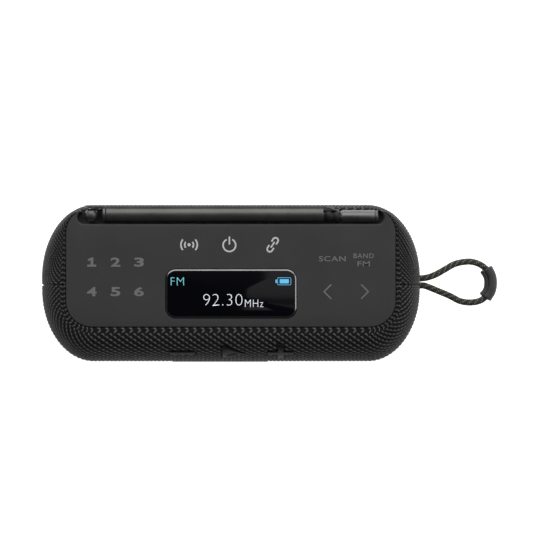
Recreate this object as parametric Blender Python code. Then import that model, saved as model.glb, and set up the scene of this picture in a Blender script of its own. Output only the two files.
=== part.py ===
"""A portable tabletop radio: a flat control panel in a fabric-covered body, with a folding antenna.

The frame: +X runs along the body to the wrist strap, -Y is the front, +Z is up, and the origin is
the centre of the footprint at the level of the base. Dimensions below are in millimetres, and
new_object turns them into metres.
"""

import math
from collections import namedtuple

import bmesh
import bpy
from mathutils import Matrix, Vector

MM = 0.001
GAP = 0.3  # between pieces that touch

# ---- body: three outlines, joined by superelliptic sides -------------------------------------
Outline = namedtuple("Outline", "half_length front rear corner_x corner_y z")
BASE_EDGE = Outline(70.0, -20.0, 20.0, 14.0, 14.0, 1.5)
WAIST = Outline(95.0, -39.25, 39.25, 26.0, 36.25, 38.0)
TOP_EDGE = Outline(82.8, -22.15, 38.0, 13.2, 13.2, 75.0)
UPPER_ROUNDNESS = 3.0
LOWER_ROUNDNESS = 2.5
UPPER_STEPS = 6
LOWER_STEPS = 4
SEAM_Y = -1.0  # the plane where the front and rear halves meet at both ends
CORNER_ANGLES = (12, 24, 36, 48, 58, 65, 72, 81, 90)
REAR_LIP_Y = 36.3  # behind the antenna the body's edge runs straight and lower
REAR_LIP_Z = 67.3
FABRIC_DROP_ANGLES = (58, 72)
SHELL_DROP_ANGLES = (12, 34)  # the shell's edge drops sooner, under the panel's rear corners
FRONT = -1
REAR = 1
FABRIC_THICKNESS = 1.2
SHELL_OUTER = 1.5
SHELL_INNER = 3.3

# ---- control panel ---------------------------------------------------------------------------
PANEL_TOP = 75.0
PANEL_BOTTOM = 64.5
PANEL_SKIN = 2.5
PANEL_CLEARANCE = 0.45
PANEL_HOLLOW = (-79.6, 79.6, -18.9, 26.8, 10.5)  # the last is its corners' radius
TROUGH_FRONT = 29.6
TROUGH_RADIUS = 3.3
TROUGH_HALF_LENGTH = 76.9
TROUGH_FLOOR = 67.8
TROUGH_UNDERSIDE = 66.1
TROUGH_OPEN_LEFT = -75.4
WINDOW = (-32.6, 32.9, -17.5, 6.9)
WINDOW_CORNER = 5.0
BEZEL_WIDTH = 0.8
BEZEL_BOTTOM = 72.9
LENS_Z = (73.2, 74.7)
MODULE_Z = (68.4, 72.6)

# ---- keys under the panel's printed signs: centre x, y, width, depth --------------------------
KEYS = {
    "key_broadcast": (-20.9, 19.2, 13.0, 11.0),
    "key_power": (-0.7, 19.2, 13.0, 11.0),
    "key_link": (21.0, 19.2, 13.0, 11.0),
    "key_1": (-69.7, 10.5, 9.6, 9.0),
    "key_2": (-57.8, 10.5, 9.6, 9.0),
    "key_3": (-46.0, 10.5, 9.6, 9.0),
    "key_4": (-69.7, -4.3, 9.6, 9.0),
    "key_5": (-57.8, -4.3, 9.6, 9.0),
    "key_6": (-46.0, -4.3, 9.6, 9.0),
    "key_scan": (50.9, 11.6, 15.4, 8.0),
    "key_band": (66.6, 11.6, 13.0, 10.0),
    "key_previous": (48.6, -4.3, 10.0, 11.0),
    "key_next": (67.1, -4.3, 10.0, 11.0),
}
KEY_CORNER = 1.8
KEY_UNDERSIDE = 73.0
KEY_STEM_RADIUS = 1.6
KEY_STEM_BOTTOM = 71.8
SWITCH_TOP = 71.1
SWITCH_HALF = 2.2
KEY_BOARD = (69.0, 70.2)

# ---- buttons that stand through the fabric at the top of the front ----------------------------
BUTTON_X = {"button_minus": -24.5, "button_play": 1.0, "button_plus": 25.0}
BUTTON_CENTRE = (-34.2, 67.7)
BUTTON_SLOPE = math.radians(43)
BUTTON_SPAN = 13.0
BUTTON_BAR = 3.0
BUTTON_PROUD = 0.5
BUTTON_DEPTH = 4.2
PLAY_SIGN = (-5.2, 5.6, 6.0)  # the triangle's left, its tip and half of its height
PLAY_RECESS = ((-3.4, -3.4), (2.7, 0.0), (-3.4, 3.4))
BUTTON_BOARD = (-8.8, -7.6)
BUTTON_SWITCH_TOP = -6.0

# ---- antenna ----------------------------------------------------------------------------------
PIVOT = (-70.0, 34.2, 72.5)
BALL_RADIUS = 3.3
BALL_REAR = 37.3
STALK_RADIUS = 1.1
SCREW_BORE = 1.25
SCREW_RECESS = 2.1
ARM_Y = (37.6, 39.1)
ARM_HALF_HEIGHT = 3.0
COLLAR_X = (-64.3, -62.95)
SLEEVE_X = (-62.65, 48.0)
SLEEVE_RADIUS = 3.9
SLEEVE_Y = 34.5
FERRULE_END = 54.1
ROD_Y = 33.4
BORE_RADIUS = 2.35
SECTIONS = {"antenna_section_2": (2.05, 1.6, -59.0), "antenna_section_3": (1.3, 0.9, -58.0)}
SECTION_END = 54.4
TIP_X = (54.9, 74.1)
TIP_RADIUS = 3.15
TIP_ROD_RADIUS = 0.6

# ---- sound ------------------------------------------------------------------------------------
SOUND_Z = 38.0
DRIVER_X = -41.0
RADIATOR_X = 41.0
FLANGE_RADIUS = 20.5
BASKET_RADIUS = 18.0
CONE_RADIUS = 15.1
FLANGE_FRONT = -33.2
GRILLE_SLOTS = 5
GRILLE_PITCH = 5.8

# ---- inside -----------------------------------------------------------------------------------
CELL_RADIUS = 9.2
CELL_LENGTH = 65.0
CELL_Z = 17.6
CELL_Y = {"battery_cell_front": 0.5, "battery_cell_rear": 19.5}
TRAY = (-62.0, 62.0, -12.0, 18.0, 5.9, 7.9)
SCREW_PLACES = ((-56.0, -8.0), (-56.0, 14.0), (56.0, -8.0), (56.0, 14.0))
BASE_PLATE_Z = (1.8, 4.8)
FOOT = (-50.0, 50.0, -15.0, 15.0)
MAIN_BOARD = (-60.0, 60.0, -6.0, 30.0, 27.6, 29.2)
PORT_X = 38.0
PORT_Z = 32.0
PORT_SIZE = (15.0, 8.0)
SLOT_SIZE = (9.0, 3.3)
BADGE = (-29.5, 18.7, 31.5, 44.5)
BADGE_Y = (-39.25, -38.3)

# ---- strap ------------------------------------------------------------------------------------
CORD_DIAMETER = 3.0
STRAP_Z = 40.0
STRAP_Y = 0.55
GROMMET_HALF = (4.0, 2.4)
GROMMET_INNER_END = 88.5
STRAP_TUNNEL = (85.0, 100.0)
CORD_ROUTE = (
    (95.3, 2.3, 40.0),
    (97.2, 2.4, 40.0),
    (100.0, 3.7, 39.8),
    (103.5, 5.4, 39.3),
    (107.4, 6.9, 38.6),
    (113.0, 9.7, 37.4),
    (119.7, 10.8, 36.0),
    (124.6, 9.7, 35.1),
    (128.3, 7.2, 34.4),
    (130.2, 3.6, 34.0),
    (130.7, -0.2, 33.9),
    (130.0, -4.0, 34.0),
    (127.8, -7.3, 34.4),
    (124.6, -9.2, 35.1),
    (120.0, -9.8, 36.0),
    (115.1, -9.0, 37.1),
    (110.2, -6.5, 38.1),
    (104.5, -4.1, 39.2),
    (99.6, -2.1, 39.8),
    (97.2, -1.3, 40.0),
    (95.3, -1.2, 40.0),
)
CORD_SPACING = 3.5
GRIP_ROUTE_POINTS = (8, 12)
GRIP_RADII = (3.2, 1.8)

# ---- finishes: colour, roughness, metallic ----------------------------------------------------
FINISHES = {
    "fabric": ((0.012, 0.012, 0.013), 0.9, 0.0),
    "soft_panel": ((0.045, 0.045, 0.046), 0.6, 0.0),
    "hard_plastic": ((0.03, 0.03, 0.031), 0.45, 0.0),
    "rubber": ((0.02, 0.02, 0.02), 0.75, 0.0),
    "glass": ((0.004, 0.005, 0.01), 0.05, 0.0),
    "bright_edge": ((0.35, 0.35, 0.36), 0.25, 1.0),
    "antenna_metal": ((0.03, 0.03, 0.032), 0.3, 1.0),
    "steel": ((0.5, 0.5, 0.52), 0.35, 1.0),
    "board": ((0.01, 0.09, 0.04), 0.5, 0.0),
    "paper": ((0.05, 0.05, 0.055), 0.8, 0.0),
    "cell_wrap": ((0.03, 0.12, 0.4), 0.4, 0.0),
    "cord": ((0.035, 0.036, 0.03), 0.9, 0.0),
    "badge": ((0.25, 0.03, 0.015), 0.5, 0.0),
}


# ---- building blocks --------------------------------------------------------------------------
def finish_of(name):
    material = bpy.data.materials.get(name)
    if material:
        return material
    colour, roughness, metallic = FINISHES[name]
    material = bpy.data.materials.new(name)
    material.use_nodes = True
    shader = material.node_tree.nodes["Principled BSDF"]
    shader.inputs["Base Color"].default_value = (*colour, 1.0)
    shader.inputs["Roughness"].default_value = roughness
    shader.inputs["Metallic"].default_value = metallic
    return material


def new_object(name, shape, finish, origin=(0, 0, 0)):
    """The bmesh in millimetres becomes an object in metres, with its origin at the given point."""
    place = Vector(origin)
    bmesh.ops.recalc_face_normals(shape, faces=shape.faces)
    bmesh.ops.transform(shape, matrix=Matrix.Scale(MM, 4) @ Matrix.Translation(-place), verts=shape.verts)
    mesh = bpy.data.meshes.new(name)
    shape.to_mesh(mesh)
    shape.free()
    mesh.shade_smooth()
    mesh.set_sharp_from_angle(angle=math.radians(35))
    mesh.materials.append(finish_of(finish))
    obj = bpy.data.objects.new(name, mesh)
    obj.location = place * MM
    bpy.context.scene.collection.objects.link(obj)
    return obj


def combined(base, tool, operation):
    """The boolean of two bmeshes, as a new bmesh."""
    bmesh.ops.recalc_face_normals(base, faces=base.faces)
    bmesh.ops.recalc_face_normals(tool, faces=tool.faces)
    objects = []
    for shape in (base, tool):
        mesh = bpy.data.meshes.new("shape")
        shape.to_mesh(mesh)
        shape.free()
        obj = bpy.data.objects.new("shape", mesh)
        bpy.context.scene.collection.objects.link(obj)
        objects.append(obj)
    modifier = objects[0].modifiers.new("combine", "BOOLEAN")
    modifier.object = objects[1]
    modifier.operation = operation
    modifier.solver = "EXACT"
    bpy.context.view_layer.update()
    evaluated = objects[0].evaluated_get(bpy.context.evaluated_depsgraph_get())
    result = bmesh.new()
    result.from_mesh(evaluated.to_mesh())
    evaluated.to_mesh_clear()
    for obj in objects:
        mesh = obj.data
        bpy.data.objects.remove(obj)
        bpy.data.meshes.remove(mesh)
    bmesh.ops.remove_doubles(result, verts=result.verts, dist=0.002)
    return result


def united(*shapes):
    result = shapes[0]
    for shape in shapes[1:]:
        result = combined(result, shape, "UNION")
    return result


def cut(base, *tools):
    for tool in tools:
        base = combined(base, tool, "DIFFERENCE")
    return base


def grid_faces(shape, rows, close_rows=False):
    """Quads between rows of vertices; close_rows joins each row's last vertex to its first."""
    for lower, upper in zip(rows, rows[1:]):
        count = len(lower)
        for i in range(count if close_rows else count - 1):
            j = (i + 1) % count
            shape.faces.new((lower[i], lower[j], upper[j], upper[i]))


def loft(rings):
    """A solid through closed rings of points, with flat ends."""
    shape = bmesh.new()
    rows = [[shape.verts.new(point) for point in ring] for ring in rings]
    grid_faces(shape, rows, close_rows=True)
    shape.faces.new(rows[0][::-1])
    shape.faces.new(rows[-1])
    return shape


def prism(outline, low, high):
    """An outline in x and y, raised from z = low to z = high."""
    return loft([[(x, y, z) for x, y in outline] for z in (low, high)])


def arc(centre_x, centre_y, radius, start, end, steps):
    """Points along an arc, with its angles in degrees."""
    angles = [math.radians(start + (end - start) * i / steps) for i in range(steps + 1)]
    return [(centre_x + radius * math.cos(a), centre_y + radius * math.sin(a)) for a in angles]


def rounded_rectangle(x0, x1, y0, y1, radius, steps=4):
    return (
        arc(x1 - radius, y0 + radius, radius, -90, 0, steps)
        + arc(x1 - radius, y1 - radius, radius, 0, 90, steps)
        + arc(x0 + radius, y1 - radius, radius, 90, 180, steps)
        + arc(x0 + radius, y0 + radius, radius, 180, 270, steps)
    )


def slab(x0, x1, y0, y1, low, high, radius=0.6, steps=2):
    """A block whose upright edges are round."""
    return prism(rounded_rectangle(x0, x1, y0, y1, radius, steps), low, high)


def turned(profile, centre, axis, segments=24, closed=False):
    """A profile of (distance along the axis, radius) turned about an axis through centre.

    An open profile starts and ends on the axis; a closed one is a ring's section.
    """
    direction = Vector(axis).normalized()
    side = direction.orthogonal().normalized()
    other = direction.cross(side)
    start = Vector(centre)
    shape = bmesh.new()
    rings = []
    for along, radius in profile:
        middle = start + direction * along
        if radius == 0:
            rings.append([shape.verts.new(middle)] * segments)
            continue
        ring = []
        for i in range(segments):
            angle = 2 * math.pi * i / segments
            ring.append(shape.verts.new(middle + radius * (math.cos(angle) * side + math.sin(angle) * other)))
        rings.append(ring)
    if closed:
        rings.append(rings[0])
    for lower, upper in zip(rings, rings[1:]):
        for i in range(segments):
            j = (i + 1) % segments
            corners = list(dict.fromkeys((lower[i], lower[j], upper[j], upper[i])))
            shape.faces.new(corners)
    return shape


def rod(centre, axis, radius, start, end, segments=20):
    return turned([(start, 0), (start, radius), (end, radius), (end, 0)], centre, axis, segments)


def tube(centre, axis, outer, inner, start, end, segments=20):
    profile = [(start, inner), (start, outer), (end, outer), (end, inner)]
    return turned(profile, centre, axis, segments, closed=True)


def swept(path, radius, segments=10):
    """The rings of a round section of this radius along a path that keeps roughly level."""
    rings = []
    for i, point in enumerate(path):
        ahead = path[min(i + 1, len(path) - 1)]
        behind = path[max(i - 1, 0)]
        along = (ahead - behind).normalized()
        side = along.cross(Vector((0, 0, 1))).normalized()
        up = side.cross(along)
        angles = [2 * math.pi * k / segments for k in range(segments)]
        rings.append([point + radius * (math.cos(a) * side + math.sin(a) * up) for a in angles])
    return rings


# ---- the body's surface -----------------------------------------------------------------------
def columns():
    """Places round one half of the body, from its seam at +X to its seam at -X."""
    right = [("end", 0.0), ("end", 1.0)]
    right += [("corner", angle / 90) for angle in CORNER_ANGLES]
    right += [("long", 0.5)]
    return [(s, t, 1) for s, t in right] + [("long", 1.0, 1)] + [(s, t, -1) for s, t in right[::-1]]


def outline_point(outline, half, column):
    stretch, share, side = column
    long_side = outline.front if half == FRONT else outline.rear
    centre_x = outline.half_length - outline.corner_x
    centre_y = long_side - half * outline.corner_y
    if stretch == "end":
        seam = SEAM_Y + half * GAP / 2
        return side * outline.half_length, seam + share * (centre_y - seam)
    if stretch == "corner":
        angle = share * math.pi / 2
        x = centre_x + outline.corner_x * math.cos(angle)
        return side * x, centre_y + half * outline.corner_y * math.sin(angle)
    return side * centre_x * (1 - share), long_side


def lip_drop(half, column, angles):
    """0 where the top edge has its full height, 1 where it has dropped behind the antenna."""
    stretch, share, _ = column
    if half == FRONT or stretch == "end":
        return 0.0
    if stretch == "long":
        return 1.0
    start, end = angles
    amount = min(max((share * 90 - start) / (end - start), 0.0), 1.0)
    return amount * amount * (3 - 2 * amount)


def top_edge_point(half, column, depth=0.0):
    """The top edge of the layer at a depth below the surface."""
    x, y = outline_point(TOP_EDGE, half, column)
    y += lip_drop(half, column, FABRIC_DROP_ANGLES) * (REAR_LIP_Y - y)
    angles = SHELL_DROP_ANGLES if depth > FABRIC_THICKNESS else FABRIC_DROP_ANGLES
    z = TOP_EDGE.z + lip_drop(half, column, angles) * (REAR_LIP_Z - TOP_EDGE.z)
    return Vector((x, y, z - depth))


def side_profile(steps, roundness):
    """(inset share, height share) pairs from the waist to an edge, along a superellipse."""
    angles = [math.pi / 2 * i / steps for i in range(steps + 1)]
    power = 2 / roundness
    return [(1 - max(math.cos(a), 0.0) ** power, math.sin(a) ** power) for a in angles]


def sunk(outline, depth):
    """The waist's outline at a depth below the surface, or outside it where depth is negative."""
    return Outline(outline.half_length - depth, outline.front + depth, outline.rear - depth,
                   outline.corner_x - depth, outline.corner_y - depth, outline.z)


def body_grid(half, depth):
    """Rows of points at a depth below the body's surface, from the base edge to the top edge.

    The waist moves inwards and the two edges move up or down, so every layer keeps the seam's plane
    and the openings at the top and the base.
    """
    places = columns()
    level = sunk(WAIST, depth)
    waist = [Vector((*outline_point(level, half, column), WAIST.z)) for column in places]
    base = [Vector((*outline_point(BASE_EDGE, half, column), BASE_EDGE.z + depth)) for column in places]
    top = [top_edge_point(half, column, depth) for column in places]
    rows = []
    for edge, profile in (
        (base, side_profile(LOWER_STEPS, LOWER_ROUNDNESS)[:0:-1]),
        (top, side_profile(UPPER_STEPS, UPPER_ROUNDNESS)),
    ):
        for inset, height in profile:
            row = []
            for start, end in zip(waist, edge):
                point = start.lerp(end, inset)
                point.z = start.z + (end.z - start.z) * height
                row.append(point)
            rows.append(row)
    return rows


def body_layer(half, outside, inside):
    """A layer of one half of the body between two depths below its surface."""
    shape = bmesh.new()
    skins = []
    for depth in (outside, inside):
        skins.append([[shape.verts.new(point) for point in row] for row in body_grid(half, depth)])
    for skin in skins:
        grid_faces(shape, skin)
    outer, inner = skins
    grid_faces(shape, [outer[0], inner[0]])
    grid_faces(shape, [outer[-1], inner[-1]])
    for end in (0, -1):
        grid_faces(shape, [[row[end] for row in outer], [row[end] for row in inner]])
    return shape


def inset_outline(points, distance):
    """A closed outline in x and y, listed anticlockwise, moved inwards."""
    moved = []
    for i, point in enumerate(points):
        along = (points[(i + 1) % len(points)] - points[i - 1]).normalized()
        moved.append((point.x - along.y * distance, point.y + along.x * distance))
    return moved


def top_opening():
    """The opening at the top of the body, anticlockwise seen from above."""
    front = [top_edge_point(FRONT, column) for column in columns()][::-1]
    rear = [top_edge_point(REAR, column) for column in columns()]
    return [Vector((p.x, p.y)) for p in front + rear]


# ---- housing ----------------------------------------------------------------------------------
def on_slope(x, along, out):
    """A point by its x, its distance up the front's slope and its distance out of the surface."""
    y, z = BUTTON_CENTRE
    rise, run = math.sin(BUTTON_SLOPE), math.cos(BUTTON_SLOPE)
    return (x, y + along * rise - out * run, z + along * run + out * rise)


def sign_outline(name, grow=0.0):
    """The outline of a button's sign, round its own centre."""
    half = BUTTON_SPAN / 2 + grow
    bar = BUTTON_BAR / 2 + grow
    if name == "button_minus":
        return [(-half, -bar), (half, -bar), (half, bar), (-half, bar)]
    if name == "button_plus":
        return [
            (-half, -bar), (-bar, -bar), (-bar, -half), (bar, -half), (bar, -bar), (half, -bar),
            (half, bar), (bar, bar), (bar, half), (-bar, half), (-bar, bar), (-half, bar),
        ]
    left, tip, height = PLAY_SIGN
    left, tip, height = left - grow, tip + 1.9 * grow, height + 1.8 * grow
    return [(left, -height), (tip, 0.0), (left, height)]


def sign_prism(name, inner, outer, grow=0.0):
    outline = sign_outline(name, grow)
    return loft([[on_slope(BUTTON_X[name] + x, y, out) for x, y in outline] for out in (inner, outer)])


def button_openings():
    return [sign_prism(name, -12.0, 3.0, GAP) for name in BUTTON_X]


def strap_opening(grow, start, end):
    half_y, half_z = GROMMET_HALF[0] + grow, GROMMET_HALF[1] + grow
    outline = rounded_rectangle(-half_y, half_y, -half_z, half_z, half_z - 0.1, 4)
    return loft([[(x, STRAP_Y + y, STRAP_Z + z) for y, z in outline] for x in (start, end)])


def port_block(grow, start, end, size=PORT_SIZE, radius=3.0):
    half_x, half_z = size[0] / 2 + grow, size[1] / 2 + grow
    outline = rounded_rectangle(-half_x, half_x, -half_z, half_z, min(radius, half_z - 0.05), 4)
    return loft([[(PORT_X + x, y, PORT_Z + z) for x, z in outline] for y in (start, end)])


def badge_block(grow, start, end):
    x0, x1, z0, z1 = BADGE
    outline = rounded_rectangle(x0 - grow, x1 + grow, z0 - grow, z1 + grow, 1.5, 3)
    return loft([[(x, y, z) for x, z in outline] for y in (start, end)])


def grille_slots(centre_x):
    """Level slots in front of a cone, shorter towards the top and the bottom."""
    slots = []
    for i in range(GRILLE_SLOTS):
        height = (i - (GRILLE_SLOTS - 1) / 2) * GRILLE_PITCH
        half = math.sqrt(CONE_RADIUS ** 2 - height ** 2)
        z = SOUND_Z + height
        slots.append(slab(centre_x - half, centre_x + half, -45, -30, z - 1.7, z + 1.7, 0.2, 1))
    return slots


def make_body():
    fabric = cut(
        body_layer(FRONT, 0, FABRIC_THICKNESS),
        *button_openings(),
        strap_opening(GAP, *STRAP_TUNNEL),
        badge_block(GAP, -42, -37),
    )
    new_object("front_fabric", fabric, "fabric")
    fabric = cut(
        body_layer(REAR, 0, FABRIC_THICKNESS), strap_opening(GAP, *STRAP_TUNNEL), port_block(GAP, 32, 42)
    )
    new_object("rear_fabric", fabric, "fabric")
    shell = cut(
        body_layer(FRONT, SHELL_OUTER, SHELL_INNER),
        *button_openings(),
        strap_opening(GAP, *STRAP_TUNNEL),
        *grille_slots(DRIVER_X),
        *grille_slots(RADIATOR_X),
    )
    new_object("front_shell", shell, "hard_plastic")
    shell = cut(
        body_layer(REAR, SHELL_OUTER, SHELL_INNER), strap_opening(GAP, *STRAP_TUNNEL), port_block(GAP, 32, 42)
    )
    new_object("rear_shell", shell, "hard_plastic")
    new_object("strap_grommet", strap_opening(0, GROMMET_INNER_END, WAIST.half_length), "rubber")
    new_object("front_badge", badge_block(0, *BADGE_Y), "badge")


def make_base():
    low, high = BASE_PLATE_Z
    reach_x, reach_y = BASE_EDGE.half_length - GAP, BASE_EDGE.rear - GAP
    plate = prism(rounded_rectangle(-reach_x, reach_x, -reach_y, reach_y, 13.7, 5), low, high)
    tray = slab(*TRAY)
    for i, (x, y) in enumerate(SCREW_PLACES):
        axis = (x, y, 0), (0, 0, 1)
        plate = cut(plate, rod(*axis, 2.9, low - 1, 3.9, 12), rod(*axis, 1.4, 3, 6, 12))
        tray = united(tray, rod(*axis, 3.2, high + GAP, 14.0, 12))
        screw = turned([(2.0, 0), (2.0, 2.0), (2.3, 2.6), (3.6, 2.6), (3.6, 1.1), (12.5, 1.1), (13.2, 0)],
                       *axis, 12)
        screw = cut(screw, slab(x - 0.4, x + 0.4, y - 1.5, y + 1.5, 1.5, 2.8, 0.1, 1),
                    slab(x - 1.5, x + 1.5, y - 0.4, y + 0.4, 1.5, 2.8, 0.1, 1))
        new_object(f"base_screw_{i + 1}", screw, "steel", (x, y, 2.0))
    for x, y in SCREW_PLACES:
        tray = cut(tray, rod((x, y, 0), (0, 0, 1), 1.4, 4, 15, 12))
    for side in (-1, 1):
        near, far = sorted((side * (CELL_LENGTH / 2 + 0.5), side * (CELL_LENGTH / 2 + 2.5)))
        tray = united(tray, slab(near, far, -8, 17, 7.0, 20.0, 0.4, 1))
    new_object("base_plate", plate, "hard_plastic")
    new_object("battery_tray", tray, "hard_plastic")
    foot = loft([
        [(x * scale, y * scale, z) for x, y in rounded_rectangle(*FOOT, 8.0, 5)]
        for scale, z in ((0.985, 0.0), (1.0, 0.6), (1.0, BASE_PLATE_Z[0] - GAP))
    ])
    new_object("base_foot", foot, "rubber")


# ---- control panel ----------------------------------------------------------------------------
def trough():
    """The antenna's trough: round at its ends and open at the back."""
    middle = TROUGH_FRONT + TROUGH_RADIUS
    reach = TROUGH_HALF_LENGTH - TROUGH_RADIUS
    outline = arc(-reach, middle, TROUGH_RADIUS, 90, 270, 8) + arc(reach, middle, TROUGH_RADIUS, -90, 90, 8)
    groove = prism(outline, TROUGH_FLOOR, PANEL_TOP + 2)
    return united(groove, slab(TROUGH_OPEN_LEFT, reach, middle, 45, TROUGH_FLOOR, PANEL_TOP + 3, 0.1, 1))


def make_panel():
    outline = inset_outline(top_opening(), PANEL_CLEARANCE)
    panel = prism(outline, PANEL_BOTTOM, PANEL_TOP)
    hollow = rounded_rectangle(*PANEL_HOLLOW, 5)
    under_trough = slab(-90, 90, 27.5, 45, PANEL_BOTTOM - 1, TROUGH_UNDERSIDE)
    openings = [
        prism(hollow, PANEL_BOTTOM - 1, PANEL_TOP - PANEL_SKIN),
        under_trough,
        trough(),
        prism(window_outline(GAP), PANEL_BOTTOM - 1, PANEL_TOP + 1),
        rod((PIVOT[0], PIVOT[1], 0), (0, 0, 1), STALK_RADIUS + 0.25, 60, 70),
    ]
    for x, y, width, depth in KEYS.values():
        hole = key_outline(x, y, width + 2 * GAP, depth + 2 * GAP, KEY_CORNER + GAP)
        openings.append(prism(hole, PANEL_TOP - PANEL_SKIN - 1, PANEL_TOP + 1))
    new_object("top_panel", cut(panel, *openings), "soft_panel")


def window_outline(grow=0.0):
    x0, x1, y0, y1 = WINDOW
    return rounded_rectangle(x0 - grow, x1 + grow, y0 - grow, y1 + grow, WINDOW_CORNER + grow, 5)


def key_outline(x, y, width, depth, radius):
    return rounded_rectangle(x - width / 2, x + width / 2, y - depth / 2, y + depth / 2, radius, 3)


def make_display():
    bezel = cut(
        prism(window_outline(), BEZEL_BOTTOM, PANEL_TOP),
        prism(window_outline(-BEZEL_WIDTH), BEZEL_BOTTOM - 1, PANEL_TOP + 1),
    )
    new_object("display_bezel", bezel, "bright_edge")
    lens = prism(window_outline(-BEZEL_WIDTH - GAP), *LENS_Z)
    new_object("display_lens", lens, "glass")
    x0, x1, y0, y1 = WINDOW
    module = slab(x0 + 3, x1 - 3, y0 + 1.5, y1 - 1.5, *MODULE_Z)
    new_object("display_module", module, "board")


def make_keys():
    low, high = KEY_BOARD
    board = slab(-78.5, 78.5, -18.0, 26.0, low, high, 8.0, 4)
    x0, x1, y0, y1 = WINDOW
    board = cut(board, slab(x0, x1, -25, y1 + 0.5, low - 1, high + 1))
    for name, (x, y, width, depth) in KEYS.items():
        cap = prism(key_outline(x, y, width, depth, KEY_CORNER), KEY_UNDERSIDE, PANEL_TOP)
        stem = rod((x, y, 0), (0, 0, 1), KEY_STEM_RADIUS, KEY_STEM_BOTTOM, KEY_UNDERSIDE + 0.5, 12)
        new_object(name, united(cap, stem), "soft_panel", (x, y, PANEL_TOP))
        foot = (x - SWITCH_HALF, x + SWITCH_HALF, y - SWITCH_HALF, y + SWITCH_HALF)
        board = united(board, slab(*foot, high - 0.5, SWITCH_TOP, 0.3, 1))
    new_object("key_board", board, "board")


def make_buttons():
    for name, x in BUTTON_X.items():
        button = sign_prism(name, -BUTTON_DEPTH - 3, 4.0)
        button = combined(button, body_layer(FRONT, -BUTTON_PROUD, BUTTON_DEPTH), "INTERSECT")
        if name == "button_play":
            recess = loft([[on_slope(x + u, v, out) for u, v in PLAY_RECESS] for out in (-0.4, 4.0)])
            button = cut(button, recess)
        new_object(name, button, "rubber", on_slope(x, 0, 0))
    inner, outer = BUTTON_BOARD
    corners = rounded_rectangle(-34, 34, -4.0, 5.5, 1.0, 2)
    board = loft([[on_slope(x, y, out) for x, y in corners] for out in (inner, outer)])
    for x in BUTTON_X.values():
        pad = rounded_rectangle(x - SWITCH_HALF, x + SWITCH_HALF, -SWITCH_HALF, SWITCH_HALF, 0.3, 1)
        switch = loft([[on_slope(u, v, out) for u, v in pad] for out in (outer - 0.5, BUTTON_SWITCH_TOP)])
        board = united(board, switch)
    new_object("button_board", board, "board")


# ---- antenna ----------------------------------------------------------------------------------
def make_antenna_base():
    x, y, z = PIVOT
    ball = [(BALL_RADIUS * -math.cos(math.radians(a)), BALL_RADIUS * math.sin(math.radians(a)))
            for a in range(0, 181, 15)]
    ball[0] = (-BALL_RADIUS, 0)
    ball[-1] = (BALL_RADIUS, 0)
    post = turned(ball, PIVOT, (0, 0, 1), 24)
    post = united(post, rod((x, y, 0), (0, 0, 1), 2.2, TROUGH_FLOOR + GAP, z - 2, 20))
    post = united(post, rod((x, y, 0), (0, 0, 1), STALK_RADIUS, 64.2, z - 2.5, 16))
    post = cut(
        post,
        slab(x - 6, x + 6, BALL_REAR, 45, z - 6, z + 6),
        rod((x, 0, z), (0, 1, 0), SCREW_BORE, 28, 42, 16),
        rod((x, 0, z), (0, 1, 0), SCREW_RECESS, 28, 32.6, 16),
    )
    new_object("antenna_post", post, "antenna_metal", PIVOT)
    nut = tube((x, y, 0), (0, 0, 1), 1.85, STALK_RADIUS + 0.25, 64.6, TROUGH_UNDERSIDE - GAP, 16)
    new_object("antenna_nut", nut, "steel", (x, y, 65.0))
    head = [(31.3, 0), (31.3, 1.5), (31.6, 1.75), (32.3, 1.75), (32.3, 0.95), (38.6, 0.95), (38.6, 0)]
    screw = turned(head, (x, 0, z), (0, 1, 0), 16)
    screw = cut(screw, slab(x - 0.35, x + 0.35, 31.0, 31.9, z - 1.3, z + 1.3, 0.05, 1))
    new_object("antenna_screw", screw, "steel", PIVOT)


def rib(start, end, y0, y1, half_height):
    """The flat rib along the antenna's rear, with its long edges rounded."""
    outline = rounded_rectangle(y0, y1, PIVOT[2] - half_height, PIVOT[2] + half_height, 0.5, 2)
    return loft([[(x, y, z) for y, z in outline] for x in (start, end)])


def make_mast():
    x, _, z = PIVOT
    inner, outer = ARM_Y
    start, end = COLLAR_X
    collar = united(rod((0, SLEEVE_Y, z), (1, 0, 0), SLEEVE_RADIUS, start, end, 28),
                    rib(start, end, 36.0, outer, ARM_HALF_HEIGHT))
    heel = turned([(inner, 0), (inner, 3.3), (outer - 1.2, 3.3), (outer - 0.4, 2.7), (outer, 1.8), (outer, 0)],
                  (x, 0, z), (0, 1, 0), 28)
    arm = united(collar, rib(x, end - 0.2, inner, outer, ARM_HALF_HEIGHT), heel)
    arm = cut(arm, rod((x, 0, z), (0, 1, 0), SCREW_BORE, 36, 38.9, 16))
    new_object("antenna_hinge_arm", arm, "antenna_metal", PIVOT)

    start, end = SLEEVE_X
    ring = [(SLEEVE_RADIUS, SLEEVE_Y, start), (SLEEVE_RADIUS, SLEEVE_Y, end), (3.3, 33.9, 51.0),
            (3.05, ROD_Y, FERRULE_END)]
    circles = []
    for radius, y, along in ring:
        circles.append([(along, y + u, z + v) for u, v in arc(0, 0, radius, 0, 360, 28)[:-1]])
    flats = []
    for along, y0, y1, half in ((start, 36.0, outer, ARM_HALF_HEIGHT), (end, 36.0, outer, ARM_HALF_HEIGHT),
                                (FERRULE_END - 1, 33.5, 36.2, 1.2)):
        outline = rounded_rectangle(y0, y1, z - half, z + half, 0.5, 2)
        flats.append([(along, y, h) for y, h in outline])
    sleeve = united(loft(circles), loft(flats))
    sleeve = cut(sleeve, rod((0, ROD_Y, z), (1, 0, 0), BORE_RADIUS, -60.2, FERRULE_END + 2, 24))
    new_object("antenna_sleeve", sleeve, "antenna_metal", PIVOT)


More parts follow.
